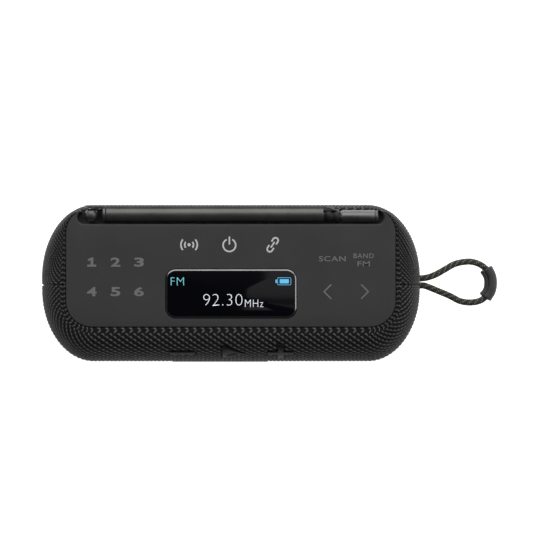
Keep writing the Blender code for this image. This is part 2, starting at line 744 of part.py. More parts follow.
def make_telescope():
    z = PIVOT[2]
    for name, (outer, inner, start) in SECTIONS.items():
        section = tube((0, ROD_Y, z), (1, 0, 0), outer, inner, start, SECTION_END, 20)
        new_object(name, section, "steel", (start, ROD_Y, z))
    start, end = TIP_X
    profile = [
        (-57.0, 0), (-57.0, TIP_ROD_RADIUS), (start, TIP_ROD_RADIUS), (start, 2.5), (start + 0.5, 2.9),
        (start + 1.2, TIP_RADIUS), (end - 1.0, TIP_RADIUS), (end - 0.3, TIP_RADIUS - 0.35),
        (end, TIP_RADIUS - 1.1), (end, 0),
    ]
    tip = turned(profile, (0, ROD_Y, z), (1, 0, 0), 28)
    new_object("antenna_tip", tip, "antenna_metal", (start, ROD_Y, z))


# ---- sound ------------------------------------------------------------------------------------
def make_surround(name, x):
    """The half-roll between a cone or plate and its frame."""
    low, high = CONE_RADIUS + GAP, BASKET_RADIUS - GAP
    middle, half = (low + high) / 2, (high - low) / 2
    angles = [math.pi * i / 5 for i in range(6)]
    roll = [(FLANGE_FRONT + 1.7 - 1.3 * math.sin(a), middle - half * math.cos(a)) for a in angles]
    roll += [(FLANGE_FRONT + 2.3, high), (FLANGE_FRONT + 2.3, low)]
    centre = (x, 0, SOUND_Z)
    new_object(name, turned(roll, centre, (0, 1, 0), 24, closed=True), "rubber", centre)


def make_driver():
    centre = (DRIVER_X, 0, SOUND_Z)
    front = FLANGE_FRONT
    axis = (0, 1, 0)
    frame = [
        (front, BASKET_RADIUS), (front, FLANGE_RADIUS), (front + 2, FLANGE_RADIUS),
        (-19.5, 14.2), (-17.6, 14.2), (-17.6, 8.5), (-19.1, 8.5), (-19.1, 12.9), (-30.0, BASKET_RADIUS),
    ]
    new_object("driver_frame", turned(frame, centre, axis, 28, closed=True), "hard_plastic", centre)
    magnet = [(-9.6, 0), (-9.6, 13.5), (-17.3, 13.5), (-17.3, 8.8), (-12.0, 8.8), (-12.0, 0)]
    new_object("driver_magnet", turned(magnet, centre, axis, 24), "steel", centre)
    cone = [
        (-26.2, 0), (-26.6, 3.5), (-25.6, 6.0), (front + 2.0, CONE_RADIUS), (front + 2.8, CONE_RADIUS),
        (-23.5, 7.3), (-14.5, 7.3), (-14.5, 6.6), (-24.2, 5.4), (-25.4, 3.3), (-25.2, 0),
    ]
    new_object("driver_cone", turned(cone, centre, axis, 24), "paper", (DRIVER_X, front + 2, SOUND_Z))
    make_surround("driver_surround", DRIVER_X)


def make_radiator():
    centre = (RADIATOR_X, 0, SOUND_Z)
    front = FLANGE_FRONT
    frame = tube(centre, (0, 1, 0), FLANGE_RADIUS, BASKET_RADIUS, front, front + 4, 28)
    new_object("radiator_frame", frame, "hard_plastic", centre)
    plate = [(front + 1.9, 0), (front + 1.9, 10.0), (front + 1.6, CONE_RADIUS), (front + 2.6, CONE_RADIUS),
             (front + 3.2, 10.0), (front + 6.0, 10.0), (front + 6.0, 0)]
    new_object("radiator_plate", turned(plate, centre, (0, 1, 0), 24), "paper",
               (RADIATOR_X, front + 2, SOUND_Z))
    make_surround("radiator_surround", RADIATOR_X)


# ---- inside -----------------------------------------------------------------------------------
def make_power():
    half = CELL_LENGTH / 2
    for name, y in CELL_Y.items():
        profile = [(-half, 0), (-half, 8.6), (-half + 0.6, CELL_RADIUS), (half - 2.0, CELL_RADIUS),
                   (half - 1.3, 8.6), (half - 1.0, 3.0), (half, 3.0), (half, 0)]
        cell = turned(profile, (0, y, CELL_Z), (1, 0, 0), 24)
        new_object(name, cell, "cell_wrap", (0, y, CELL_Z))
    x0, x1, y0, y1, low, high = MAIN_BOARD
    board = slab(x0, x1, y0, y1, low, high, 2.0, 3)
    for x, y, width, depth, height in ((-35, 10, 18, 18, 5), (0, 18, 12, 12, 2), (20, 4, 16, 10, 8),
                                       (-12, 2, 6, 14, 10), (50, 16, 8, 20, 6)):
        foot = (x - width / 2, x + width / 2, y - depth / 2, y + depth / 2)
        board = united(board, slab(*foot, high - 0.5, high + height, 0.4, 1))
    new_object("main_board", board, "board")
    socket = cut(port_block(-2.4, 30.6, 37.3, radius=1.5), port_block(0, 32.5, 45, SLOT_SIZE, 1.5))
    new_object("usb_socket", socket, "steel", (PORT_X, 37.3, PORT_Z))
    bezel = cut(port_block(0, 37.6, 39.1), port_block(0, 30, 45, SLOT_SIZE, 1.5))
    new_object("port_bezel", bezel, "hard_plastic", (PORT_X, 39.1, PORT_Z))


# ---- strap ------------------------------------------------------------------------------------
def smooth_route(points, spacing):
    """Evenly spaced points on a Catmull-Rom curve through the route's points."""
    knots = [Vector(p) for p in points]
    knots = [2 * knots[0] - knots[1]] + knots + [2 * knots[-1] - knots[-2]]
    fine = []
    for a, b, c, d in zip(knots, knots[1:], knots[2:], knots[3:]):
        for i in range(12):
            t = i / 12
            fine.append(0.5 * (2 * b + (c - a) * t + (2 * a - 5 * b + 4 * c - d) * t * t
                               + (3 * b - a - 3 * c + d) * t ** 3))
    fine.append(knots[-2])
    lengths = [0.0]
    for a, b in zip(fine, fine[1:]):
        lengths.append(lengths[-1] + (b - a).length)
    count = round(lengths[-1] / spacing)
    picked = []
    k = 0
    for i in range(count + 1):
        wanted = lengths[-1] * i / count
        while k < len(fine) - 2 and lengths[k + 1] < wanted:
            k += 1
        share = (wanted - lengths[k]) / (lengths[k + 1] - lengths[k])
        picked.append(fine[k].lerp(fine[k + 1], share))
    return picked


def make_strap():
    curve = bpy.data.curves.new("strap_cord", "CURVE")
    curve.dimensions = "3D"
    curve.bevel_depth = CORD_DIAMETER / 2 * MM
    curve.bevel_resolution = 2
    curve.use_fill_caps = True
    spline = curve.splines.new("POLY")
    route = smooth_route(CORD_ROUTE, CORD_SPACING)
    spline.points.add(len(route) - 1)
    for point, place in zip(spline.points, route):
        point.co = (*(place * MM), 1.0)
    curve.materials.append(finish_of("cord"))
    bpy.context.scene.collection.objects.link(bpy.data.objects.new("strap_cord", curve))

    first, last = GRIP_ROUTE_POINTS
    path = smooth_route(CORD_ROUTE[first:last + 1], 2.2)
    outer_radius, inner_radius = GRIP_RADII
    outer = swept(path, outer_radius, 12)
    inner = swept(path, inner_radius, 12)
    shape = bmesh.new()
    loop = [[shape.verts.new(p) for p in ring] for ring in outer + inner[::-1]]
    grid_faces(shape, loop + [loop[0]], close_rows=True)
    new_object("strap_grip", shape, "rubber", path[len(path) // 2])


def main():
    for obj in list(bpy.data.objects):
        bpy.data.objects.remove(obj)
    make_body()
    make_base()
    make_panel()
    make_display()
    make_keys()
    make_buttons()
    make_antenna_base()
    make_mast()
    make_telescope()
    make_driver()
    make_radiator()
    make_power()
    make_strap()


main()
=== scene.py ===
"""The looks of a portable tabletop radio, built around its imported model.

Lengths are in millimetres, and MM turns them into the frame's metres. The frame: +X runs along the
body to the wrist strap, -Y is the front and +Z is up.
"""

from collections import namedtuple
from math import acos, cos, degrees, pi, radians, sin

import bmesh
import bpy
import numpy as np
from mathutils import Matrix, Vector


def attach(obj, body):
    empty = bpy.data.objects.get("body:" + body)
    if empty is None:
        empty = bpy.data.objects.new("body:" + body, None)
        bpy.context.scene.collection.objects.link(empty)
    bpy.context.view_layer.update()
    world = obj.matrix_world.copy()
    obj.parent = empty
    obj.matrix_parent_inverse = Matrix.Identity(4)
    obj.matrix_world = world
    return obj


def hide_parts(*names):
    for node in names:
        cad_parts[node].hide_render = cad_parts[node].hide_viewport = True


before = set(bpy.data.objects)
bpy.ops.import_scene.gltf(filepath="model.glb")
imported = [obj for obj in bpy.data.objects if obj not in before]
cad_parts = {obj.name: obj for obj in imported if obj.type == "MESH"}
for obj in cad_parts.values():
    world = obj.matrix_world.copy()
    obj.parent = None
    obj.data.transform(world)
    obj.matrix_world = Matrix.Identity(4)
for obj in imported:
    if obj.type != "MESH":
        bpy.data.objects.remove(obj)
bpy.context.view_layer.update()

MM = 0.001
FRONT = -1
REAR = 1

# ---- camera: straight above the panel ----
CAMERA_OVER = (18.9, 7.3)
CAMERA_HEIGHT = 9000.0
CAMERA_LENS = 1193.6
CAMERA_CLIP = (0.1, 20.0)  # in metres
FLOOR_GAP = 0.0002  # between the foot and the studio's floor, in metres
FLOOR_HALF = 2500.0
BRIGHT_SIDE = (0.3, 0.75, -0.59)  # the world is brightest in this direction
SKY_COLOURS = ((0.05, 0.051, 0.053), (0.6, 0.6, 0.6))
SKY_SPREAD = (0.2, 0.85)
LIGHTS = (  # place, aim and size in metres, and watts
    ("rear_softbox", (0.0, 0.95, 0.95), (0, 0, 0.07), (2.0, 1.2), 13.0),
    ("right_softbox", (1.0, 0.1, 0.9), (0, 0, 0.05), (0.5, 0.8), 2.4),
    ("left_softbox", (-1.2, 0.1, 0.4), (0, 0, 0.05), (0.5, 0.8), 1.6),
    ("large_card", (0.23, 0.09, 1.3), (0.23, 0.09, 0), (0.42, 0.2), 0.11),
    ("front_card", (0.018, -0.104, 1.3), (0.018, -0.104, 0), (0.024, 0.028), 0.0009),
    ("low_card", (0.08, -0.0168, 1.3), (0.08, -0.0168, 0), (0.06, 0.0032), 0.00026),
)

# ---- materials ----
# vary is how much colour and roughness differ, as a share; grain is the depth of a bump
Look = namedtuple(
    "Look", "colour roughness metallic specular vary vary_size grain grain_size emission coat",
    defaults=(0.0, 0.5, 0.0, 20, 0.0, 0.3, 0.0, 0.0),
)
LOOKS = {
    "pale_floor": Look((0.93, 0.93, 0.93), 0.7, 0.0, 0.1, emission=1.05),
    # the knit's colour is painted shade in the gaps between its stitches; YARNS gives its lighter crests
    "knit": Look((0.011, 0.011, 0.0112), 0.85, 0.0, 0.12),
    # the cord's colour is painted shade where its strands dip; YARNS gives its lighter crests
    "cord_braid": Look((0.035, 0.036, 0.03), 0.85, 0.0, 0.12),
    "soft_touch": Look((0.0545, 0.0545, 0.055), 0.55, 0.0, 0.2, 0.06, 25, 0.012, 0.25),
    "print_grey": Look((0.21, 0.21, 0.21), 0.6, 0.0, 0.2, 0.05, 3),
    "print_light": Look((0.7, 0.7, 0.7), 0.55, 0.0, 0.2, 0.03, 3),
    "bezel_metal": Look((0.2, 0.2, 0.2), 0.16, 1.0, 0.5, 0.08, 6),
    "display_gloss": Look((0.0004, 0.0005, 0.002), 0.03, 0.0, 0.45, 0.3, 30),
    "display_white": Look((0.8, 0.83, 0.88), 0.5, 0.0, 0.5, 0.03, 2, emission=0.45),
    "display_cyan": Look((0.17, 0.6, 0.68), 0.5, 0.0, 0.5, 0.05, 2, emission=0.45),
    "display_blue": Look((0.12, 0.5, 0.8), 0.5, 0.0, 0.5, 0.05, 2, emission=0.45),
    "button_rubber": Look((0.005, 0.005, 0.0052), 0.5, 0.0, 0.1, 0.1, 4, 0.02, 0.2),
    "badge_enamel": Look((0.3, 0.022, 0.01), 0.4, 0.0, 0.3, 0.06, 5),
    "antenna_satin": Look((0.125, 0.125, 0.122), 0.44, 0.85, 0.5, 0.1, 8, 0.005, 0.15),
    "antenna_neck": Look((0.012, 0.012, 0.0125), 0.5, 0.0, 0.4, 0.1, 3, 0.01, 0.15),
    "tip_metal": Look((0.16, 0.16, 0.157), 0.4, 1.0, 0.5, 0.1, 5, 0.004, 0.1),
    "section_steel": Look((0.2, 0.2, 0.205), 0.3, 1.0, 0.5, 0.06, 12, 0.003, 0.08),
    "grip_rubber": Look((0.052, 0.052, 0.0525), 0.55, 0.0, 0.3, 0.1, 5, 0.02, 0.15),
    "moulded_plastic": Look((0.02, 0.02, 0.021), 0.5, 0.0, 0.35, 0.1, 10, 0.02, 0.3),
    "foot_rubber": Look((0.014, 0.014, 0.014), 0.75, 0.0, 0.25, 0.15, 6, 0.03, 0.25),
    "bright_steel": Look((0.5, 0.5, 0.52), 0.3, 1.0, 0.5, 0.1, 3, 0.01, 0.1),
    "circuit_board": Look((0.01, 0.07, 0.03), 0.4, 0.0, 0.5, 0.25, 3, 0.03, 0.4),
    "cone_paper": Look((0.04, 0.04, 0.043), 0.85, 0.0, 0.5, 0.2, 2, 0.05, 0.2),
    "cell_wrap": Look((0.03, 0.12, 0.4), 0.35, 0.0, 0.5, 0.08, 8, coat=0.3),
}
# light is the colour of a yarn's crests, lighter than the painted shade in the gaps between them
Yarn = namedtuple("Yarn", "light sheen fibre fibre_size")
YARNS = {
    "knit": Yarn((0.18, 0.18, 0.181), 0.05, 0.05, 0.18),
    "cord_braid": Yarn((0.5, 0.5, 0.44), 0.1, 0.04, 0.12),
}
# where the painted shade in the gaps turns into the crests' colour
CREST_SPREAD = (0.15, 0.9)
SHEEN_ROUGHNESS = 0.4
CAD_LOOKS = (  # for the CAD's own nodes: the look, the bevel and the nodes
    ("moulded_plastic", 0.25, ("base_plate", "port_bezel")),
    ("moulded_plastic", 0.0, ("front_shell", "rear_shell", "battery_tray", "driver_frame",
                              "radiator_frame")),
    ("foot_rubber", 0.3, ("base_foot",)),
    ("foot_rubber", 0.0, ("strap_grommet", "driver_surround", "radiator_surround")),
    ("bright_steel", 0.08, ("base_screw_1", "base_screw_2", "base_screw_3", "base_screw_4",
                            "antenna_screw")),
    ("bright_steel", 0.0, ("antenna_nut", "driver_magnet", "usb_socket")),
    ("circuit_board", 0.0, ("display_module", "key_board", "button_board", "main_board")),
    ("cone_paper", 0.0, ("driver_cone", "radiator_plate")),
    ("cell_wrap", 0.0, ("battery_cell_front", "battery_cell_rear")),
)
WELD_GAP = 0.00001  # in metres
MERGE_GAP = 0.0005  # in millimetres, as pieces are made
SHARP_ANGLE = radians(30)
BEVEL_ANGLE = radians(35)
BEVEL_SEGMENTS = 3

# ---- the body's surface, as the model has it ----
Outline = namedtuple("Outline", "half_length front rear corner_x corner_y z")
BASE_EDGE = Outline(70.0, -20.0, 20.0, 14.0, 14.0, 1.5)
WAIST = Outline(95.0, -39.25, 39.25, 26.0, 36.25, 38.0)
TOP_EDGE = Outline(82.8, -22.15, 38.0, 13.2, 13.2, 75.0)
UPPER_ROUNDNESS = 3.0
LOWER_ROUNDNESS = 2.5
FINE_STEPS = 4000  # for a side's length
SIDE_SIZE = (17.5, 37.0)  # about how far a side reaches out and up
SEAM_Y = -1.0
SEAM_GAP = 0.02
REAR_LIP_Y = 36.3
REAR_LIP_Z = 67.3
FABRIC_DROP_ANGLES = (58, 72)
CLEARANCE = 0.3  # between the cover and what stands through it

# ---- openings in the cover ----
BUTTON_GAP = 0.12  # between the cover and a button
STRAP_PLACE = (95.0, 0.55, 40.0)
STRAP_HALF = (4.0, 2.4)
PORT_PLACE = (38.0, 39.0, 32.0)
PORT_HALF = (7.5, 4.0)
PORT_CORNER = 3.0
OPENING_DEPTH = 6.0  # how far from an opening's plane the cover can be cut
OPENING_SPAN = 40.0
FLANGE = 0.7  # how far in the cover's edge turns at an opening
FAR = 10.0  # stands for any distance that is too large to matter

# ---- knitted cover ----
STITCH_LENGTH = 4.0  # from one stitch to the next along a row
STITCH_ROW = 1.45
STITCH_REACH = 1.05  # half of a stitch's visible length
STITCH_WIDTH = 0.37
STITCH_ARCH = 0.26  # how far a stitch's ends bend down
STITCH_SLANTS = (40.0, 24.0)  # next to the panel, and from SLANT_END down
SLANT_START = 5.0
SLANT_END = 14.0
STITCH_HEIGHT = 0.5
STITCH_SINK = 0.3
EVEN_ENDS = (62.0, 86.0)  # from the middle, between which the painted shade in the knit's gaps grows more even
EVEN_SHARE = 0.4
EVEN_GAP_SHADE = 0.33
TUCK_WIDTH = 1.0
TUCK_DEPTH = 0.55
RIM_HEM = 0.4  # the hem at an opening is tucked in as if it were this far from it
HEM_RISE = (-0.2, 0.7)  # how far from a hem the stitches begin and are full
SEAM_ZONE = 60.0  # the seams lie further out than this
GRID_COUNTS = {FRONT: (18, 108, 150), REAR: (58, 108, 150)}  # columns on an end, a corner and a side
UPPER_ROWS = 150
CORNER_REACH = 26.0  # the corner radius at which the stitches have their own length
END_DENSITY = 1.6  # how much closer together the stitches are along an end
LOWER_ROWS = 70

# ---- control panel ----
PANEL_TOP = 75.0
PANEL_BOTTOM = 66.1
PANEL_CLEARANCE = 0.2
PANEL_EDGE = 0.3
TROUGH_FRONT = 29.6
TROUGH_RADIUS = 3.3
TROUGH_HALF_LENGTH = 76.9
TROUGH_FLOOR = 67.8
TROUGH_OPEN = (-75.4, 73.6)
TROUGH_BACK = 45.0
TROUGH_REACH = 75.2  # its right end at the floor
TROUGH_FLOOR_ROUND = 0.8
TROUGH_FLARE = 0.9
TROUGH_SLOPE = 4.0  # how high its right end slopes up
POST_HOLE = 1.35
WINDOW = (-32.6, 32.9, -17.5, 6.9)
WINDOW_CORNER = 5.0
BEZEL_WIDTH = 0.8
BEZEL_BOTTOM = 72.9
BEZEL_EDGE = ((0.0, 0.42), (0.05, 0.32))  # how far in and how far down
BEZEL_LAND = 0.12  # width of its flat inner edge
LENS_BOTTOM = 73.2
LENS_TOP = 74.6
LENS_CROWN = 0.35
LENS_GAP = 0.03
LENS_EDGE_DROP = 0.15
LENS_SHARES = (  # of the lens's outline, from its edge to its middle
    1.0, 0.995, 0.97, 0.9, 0.8, 0.65, 0.5, 0.35, 0.2, 0.05,
)
LIT_Z = (LENS_TOP, LENS_TOP + LENS_CROWN + 0.02)
KEY_CORNER = 1.8
KEY_CLEARANCE = 0.3
KEY_DEPTH = 1.4
KEY_GAP = 0.01
KEY_EDGE = 0.01
SIGN_Z = (PANEL_TOP - 0.02, PANEL_TOP + 0.03)
SMALL_PRINT = (0.008, 1.1)  # weight and spacing
KEY_WORDS = {  # text, its box of x0, x1, y0, y1, weight and spacing
    "scan": [("SCAN", (44.2, 57.6, 10.9, 13.5), *SMALL_PRINT)],
    "band": [("BAND", (61.5, 71.7, 12.5, 14.9), *SMALL_PRINT),
             ("FM", (63.5, 69.7, 8.4, 10.9), *SMALL_PRINT)],
}
LIT_WORDS = {  # the same after the look
    "digits": ("display_white", "92.30", (-13.8, 5.8, -11.4, -5.5), -0.027, 1.05),
    "unit": ("display_white", "MHz", (7.1, 16.3, -12.0, -8.3), -0.016, 1.1),
    "band": ("display_cyan", "FM", (-30.1, -23.5, -1.1, 2.8), -0.018, 1.1),
}
BATTERY_FRAME = (23.5, 30.1, -0.9, 2.7)
BATTERY_BARS = (  # line and width
    (((24.5, 0.9), (29.1, 0.9)), 2.1),
    (((22.4, 0.9), (23.2, 0.9)), 1.6),
)
ICON_STROKE = 0.8
CHEVRON = ((-1.75, -3.6), (1.85, 0.0), (-1.75, 3.6))
CHEVRON_STROKE = 0.65
POWER_RING = (3.15, 116, 424, 40)  # radius, the angles it starts and ends at, and steps
POWER_RING_UP = -0.2
POWER_BAR = (0.1, 4.1)
WAVE_RADII = (2.2, 4.1)
WAVE_STARTS = (-40, 140)
WAVE_TURN = 80
DOT_RADIUS = 0.42
LINK_TILT = radians(-33)
LINK_RADIUS = 1.35
LINK_REACH = (1.0, 2.6)
LINK_BAR = ((0, -1.7), (0, 1.7))
DIGIT_HALF = (2.45, 2.3)
DIGIT_PRINT = (0.03, 1.0)
DIGIT_ONE = (
    (-2.25, -2.3), (2.25, -2.3), (2.25, -1.25), (0.8, -1.25), (0.8, 2.3), (-0.35, 2.3),
    (-1.9, 1.5), (-1.9, 0.5), (-0.6, 0.95), (-0.6, -1.25), (-2.25, -1.25),
)

KEYS = {
    "key_broadcast": (-20.9, 19.2, 13.0, 11.0),
    "key_power": (-0.7, 19.2, 13.0, 11.0),
    "key_link": (21.0, 19.2, 13.0, 11.0),
    "key_1": (-69.7, 10.5, 9.6, 9.0),
    "key_2": (-57.8, 10.5, 9.6, 9.0),
    "key_3": (-46.0, 10.5, 9.6, 9.0),
    "key_4": (-69.7, -4.3, 9.6, 9.0),
    "key_5": (-57.8, -4.3, 9.6, 9.0),
    "key_6": (-46.0, -4.3, 9.6, 9.0),
    "key_scan": (50.9, 11.6, 15.4, 8.0),
    "key_band": (66.6, 11.6, 13.0, 10.0),
    "key_previous": (48.6, -4.3, 10.0, 11.0),
    "key_next": (67.1, -4.3, 10.0, 11.0),
}

# ---- front buttons ----
BUTTON_X = {"button_minus": -24.5, "button_play": 1.0, "button_plus": 25.0}
BUTTON_CENTRE = (-34.2, 67.7)
BUTTON_SLOPE = radians(43)
RISE, RUN = sin(BUTTON_SLOPE), cos(BUTTON_SLOPE)
BUTTON_SPAN = 13.0
BUTTON_BAR = 3.0
BUTTON_PROUD = 0.4
BUTTON_ROUND = 0.5
BUTTON_SKIRT = 3.0
BUTTON_SHARP = radians(50)
BUTTON_POINTS = 130  # along each side of the grid that a button is cut from
BUTTON_MARGIN = 0.6
PLAY_LEFT, PLAY_HALF, PLAY_RIGHT = -5.2, 6.0, 5.6
PLAY_HOLLOW = ((-3.4, -3.4), (2.7, 0.0), (-3.4, 3.4))
PLAY_HOLLOW_DEPTH = 0.35
PLAY_HOLLOW_EDGE = 0.5

# ---- badge ----
BADGE_X = -5.4
BADGE_Z = 38.0
BADGE_HALF = (24.1, 6.5)
BADGE_CORNER = 1.5
BADGE_ROUND = 0.35
BADGE_HOLE_Y = -39.0
BADGE_REACH = (38.3, 39.6)  # its back and its face, in front of the middle

# ---- antenna ----
PIVOT = (-70.0, 34.2, 72.5)
ARM_Y = (37.6, 39.1)
COLLAR_X = (-64.3, -62.95)
RIB_HALF = 3.0
RIB_END = 50.1
SLEEVE_X = (-62.65, 46.5)
SLEEVE_RADIUS = 3.9
SLEEVE_Y = 34.5
FERRULE_END = 54.7
ROD_Y = 33.4
TIP_X = (54.9, 74.1)
TIP_RADIUS = 3.15
TIP_CAP = 1.9  # its length
MAST_STEPS = 96
RIB_SQUARENESS = 14
RIB_INNER = 36.2
NECK = (  # distance from the sleeve's end, and radius
    (-0.3, 2.8), (0.6, 2.6), (1.2, 2.95), (1.9, 3.3), (2.8, 3.45), (3.7, 3.2), (4.3, 2.75),
    (4.7, 2.6), (5.1, 2.8), (5.8, 3.2), (6.6, 3.4), (7.4, 3.25), (8.0, 2.8),
)
NECK_BORE = 2.35
NECK_DROP = 0.3
HEEL_RADIUS = 3.3
SCREW_RADIUS = 1.25
SCREW_HEAD = 2.1
SCREW_Y = (28, 42)  # beyond both ends of its bore
SCREW_SEAT = 32.6
SCREW_END = 38.9
BALL_RADIUS = 3.3
COLLAR_RADIUS = 2.2
STEM_RADIUS = 1.1
STEM_BOTTOM = 64.2
BALL_FLAT_Y = 37.3
SECTIONS = {"antenna_section_2": (2.05, 1.6, -59.0), "antenna_section_3": (1.3, 0.9, -58.0)}
SECTION_END = 54.4
ROD_RADIUS = 0.6
ROD_START = -57.0

# ---- strap ----
CORD_DIAMETER = 3.0
CORD_STEP = 0.16
CORD_SEGMENTS = 48
BRAID_STRANDS = 6
BRAID_PITCH = 3.4
BRAID_HEIGHT = 0.24
BRAID_SINK = 0.03
BRAID_ROUNDNESS = 0.8
FLECKS = (1.0, 0.32)  # one strand in six is lighter
CORD_ROUTE = (
    (95.0, 2.3, 40.0), (97.2, 2.5, 40.0), (100.0, 3.1, 39.8), (103.5, 4.5, 39.3),
    (107.4, 6.7, 38.6), (113.0, 9.7, 37.4), (119.7, 10.8, 36.0), (124.6, 9.7, 35.1),
    (128.3, 7.2, 34.4), (130.2, 3.6, 34.0), (130.7, -0.2, 33.9), (130.0, -4.0, 34.0),
    (127.8, -7.3, 34.4), (124.6, -9.2, 35.1), (120.0, -9.8, 36.0), (115.1, -9.0, 37.1),
    (110.2, -6.5, 38.1), (104.5, -4.1, 39.2), (99.6, -2.1, 39.8), (97.2, -1.3, 40.0),
    (95.0, -1.2, 40.0),
)
GRIP_ROUTE_POINTS = (8, 12)
GRIP_STEP = 0.2
GRIP_SEGMENTS = 96
GRIP_RADIUS = 3.15
GRIP_BORE = 1.75
GRIP_FLARE = 0.15
GRIP_ROUND = 0.6
GRIP_GROOVE = 0.8


# ---- camera, light and floor ----
def new_object(name, data):
    obj = bpy.data.objects.new(name, data)
    bpy.context.scene.collection.objects.link(obj)
    return obj


def make_camera():
    data = bpy.data.cameras.new("camera")
    data.lens = CAMERA_LENS
    data.clip_start, data.clip_end = CAMERA_CLIP
    camera = new_object("camera", data)
    camera.location = Vector((*CAMERA_OVER, CAMERA_HEIGHT)) * MM
    bpy.context.scene.camera = camera


def make_lights():
    for name, place, aim, size, watts in LIGHTS:
        data = bpy.data.lights.new(name, "AREA")
        data.shape = "RECTANGLE"
        data.size, data.size_y = size
        data.energy = watts
        light = new_object(name, data)
        light.location = place
        light.rotation_euler = (Vector(aim) - Vector(place)).to_track_quat("-Z", "Y").to_euler()


def make_sky():
    """A grey world that is brighter on one side."""
    bpy.context.scene.view_settings.view_transform = "Standard"
    world = bpy.data.worlds.new("studio")
    world.use_nodes = True
    tree = world.node_tree
    place = add_node(tree, "ShaderNodeTexCoord").outputs["Generated"]
    towards = add_node(tree, "ShaderNodeVectorMath", {0: place, 1: BRIGHT_SIDE})
    towards.operation = "DOT_PRODUCT"
    share = add_node(tree, "ShaderNodeMapRange",
                     {"Value": towards.outputs["Value"], "From Min": -1.0})
    sky = ramp(tree, share.outputs["Result"], SKY_COLOURS, SKY_SPREAD)
    feed(tree, tree.nodes["Background"], {"Color": sky})
    bpy.context.scene.world = world


def make_floor():
    """A pale floor that is clear from its underside, so that the foot and the base show."""
    corners = np.array([[(-1, -1, 0), (1, -1, 0)], [(-1, 1, 0), (1, 1, 0)]])
    mesh = grid_mesh("floor", corners * FLOOR_HALF)
    pale = finish("pale_floor")
    tree = pale.node_tree
    mix = add_node(tree, "ShaderNodeMixShader", {
        0: add_node(tree, "ShaderNodeNewGeometry").outputs["Backfacing"],
        1: tree.nodes["Principled BSDF"].outputs["BSDF"],
        2: add_node(tree, "ShaderNodeBsdfTransparent").outputs["BSDF"],
    })
    feed(tree, tree.nodes["Material Output"], {"Surface": mix.outputs["Shader"]})
    mesh.materials.append(pale)
    floor = new_object("floor", mesh)
    floor.location.z = -FLOOR_GAP


# ---- materials ----
def finish(name):
    """The material of this look, which is made when it is first asked for."""
    material = bpy.data.materials.get(name)
    if material:
        return material
    look = LOOKS[name]
    material = bpy.data.materials.new(name)
    material.use_nodes = True
    tree = material.node_tree
    shader = tree.nodes["Principled BSDF"]
    values = {"Base Color": (*look.colour, 1.0), "Roughness": look.roughness, "Metallic": look.metallic,
              "Specular IOR Level": look.specular, "Coat Weight": look.coat}
    if look.emission:
        values |= {"Emission Color": (*look.colour, 1.0), "Emission Strength": look.emission}
    feed(tree, shader, values)
    place = add_node(tree, "ShaderNodeTexCoord").outputs["Object"]
    if look.vary:
        vary(tree, shader, place, look)
    if look.grain:
        bump_from(tree, noise(tree, place, look.grain_size, 2.0), look.grain, shader)
    if name in YARNS:
        paint_crest_shade(tree, shader, place, look.colour, YARNS[name])
    return material


def vary(tree, shader, place, look):
    """Lets a look's colour and roughness differ a little from place to place."""
    less, more = 1 - look.vary, 1 + look.vary
    cloud = noise(tree, place, look.vary_size, 3.0)
    colours = [tuple(min(channel * factor, 1.0) for channel in look.colour) for factor in (less, more)]
    low, high = max(look.roughness * less, 0.02), min(look.roughness * more, 1.0)
    spread = add_node(tree, "ShaderNodeMapRange", {"Value": cloud, "To Min": low, "To Max": high})
    feed(tree, shader, {"Base Color": ramp(tree, cloud, colours), "Roughness": spread.outputs["Result"]})


def paint_crest_shade(tree, shader, place, dark, yarn):
    """Paints shade into the gaps between a yarn's crests, which are marked on its mesh, so that the
    crests are lighter than the gaps.
    """
    crest = add_node(tree, "ShaderNodeAttribute")
    crest.attribute_name = "crest"
    colour = ramp(tree, crest.outputs["Fac"], (dark, yarn.light), CREST_SPREAD)
    feed(tree, shader, {"Base Color": colour, "Sheen Weight": yarn.sheen,
                        "Sheen Roughness": SHEEN_ROUGHNESS})
    bump_from(tree, noise(tree, place, yarn.fibre_size, 3.0), yarn.fibre, shader)


def add_node(tree, kind, inputs=()):
    node = tree.nodes.new(kind)
    feed(tree, node, dict(inputs))
    return node


def feed(tree, node, inputs):
    """Sets a node's inputs to values or links them to other nodes' outputs."""
    for socket, value in inputs.items():
        if isinstance(value, bpy.types.NodeSocket):
            tree.links.new(value, node.inputs[socket])
        else:
            node.inputs[socket].default_value = value


def noise(tree, place, size, detail):
    """Noise whose lumps are about size across."""
    inputs = {"Vector": place, "Scale": 1 / (size * MM), "Detail": detail}
    return add_node(tree, "ShaderNodeTexNoise", inputs).outputs["Fac"]


def ramp(tree, factor, colours, spread=(0.3, 0.7)):
    blend = add_node(tree, "ShaderNodeValToRGB", {"Fac": factor})
    for element, position, colour in zip(blend.color_ramp.elements, spread, colours):
        element.position = position
        element.color = (*colour, 1.0)
    return blend.outputs["Color"]


def bump_from(tree, height, depth, shader):
    """A bump of this depth in millimetres."""
    bump = add_node(tree, "ShaderNodeBump", {"Distance": depth * MM, "Height": height})
    feed(tree, shader, {"Normal": bump.outputs["Normal"]})


# ---- meshes ----
def new_piece(name, mesh, look, body, replaces=()):
    mesh.materials.clear()
    mesh.materials.append(finish(look))
    obj = new_object(name, mesh)
    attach(obj, body)
    if replaces:
        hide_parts(*replaces)
    return obj


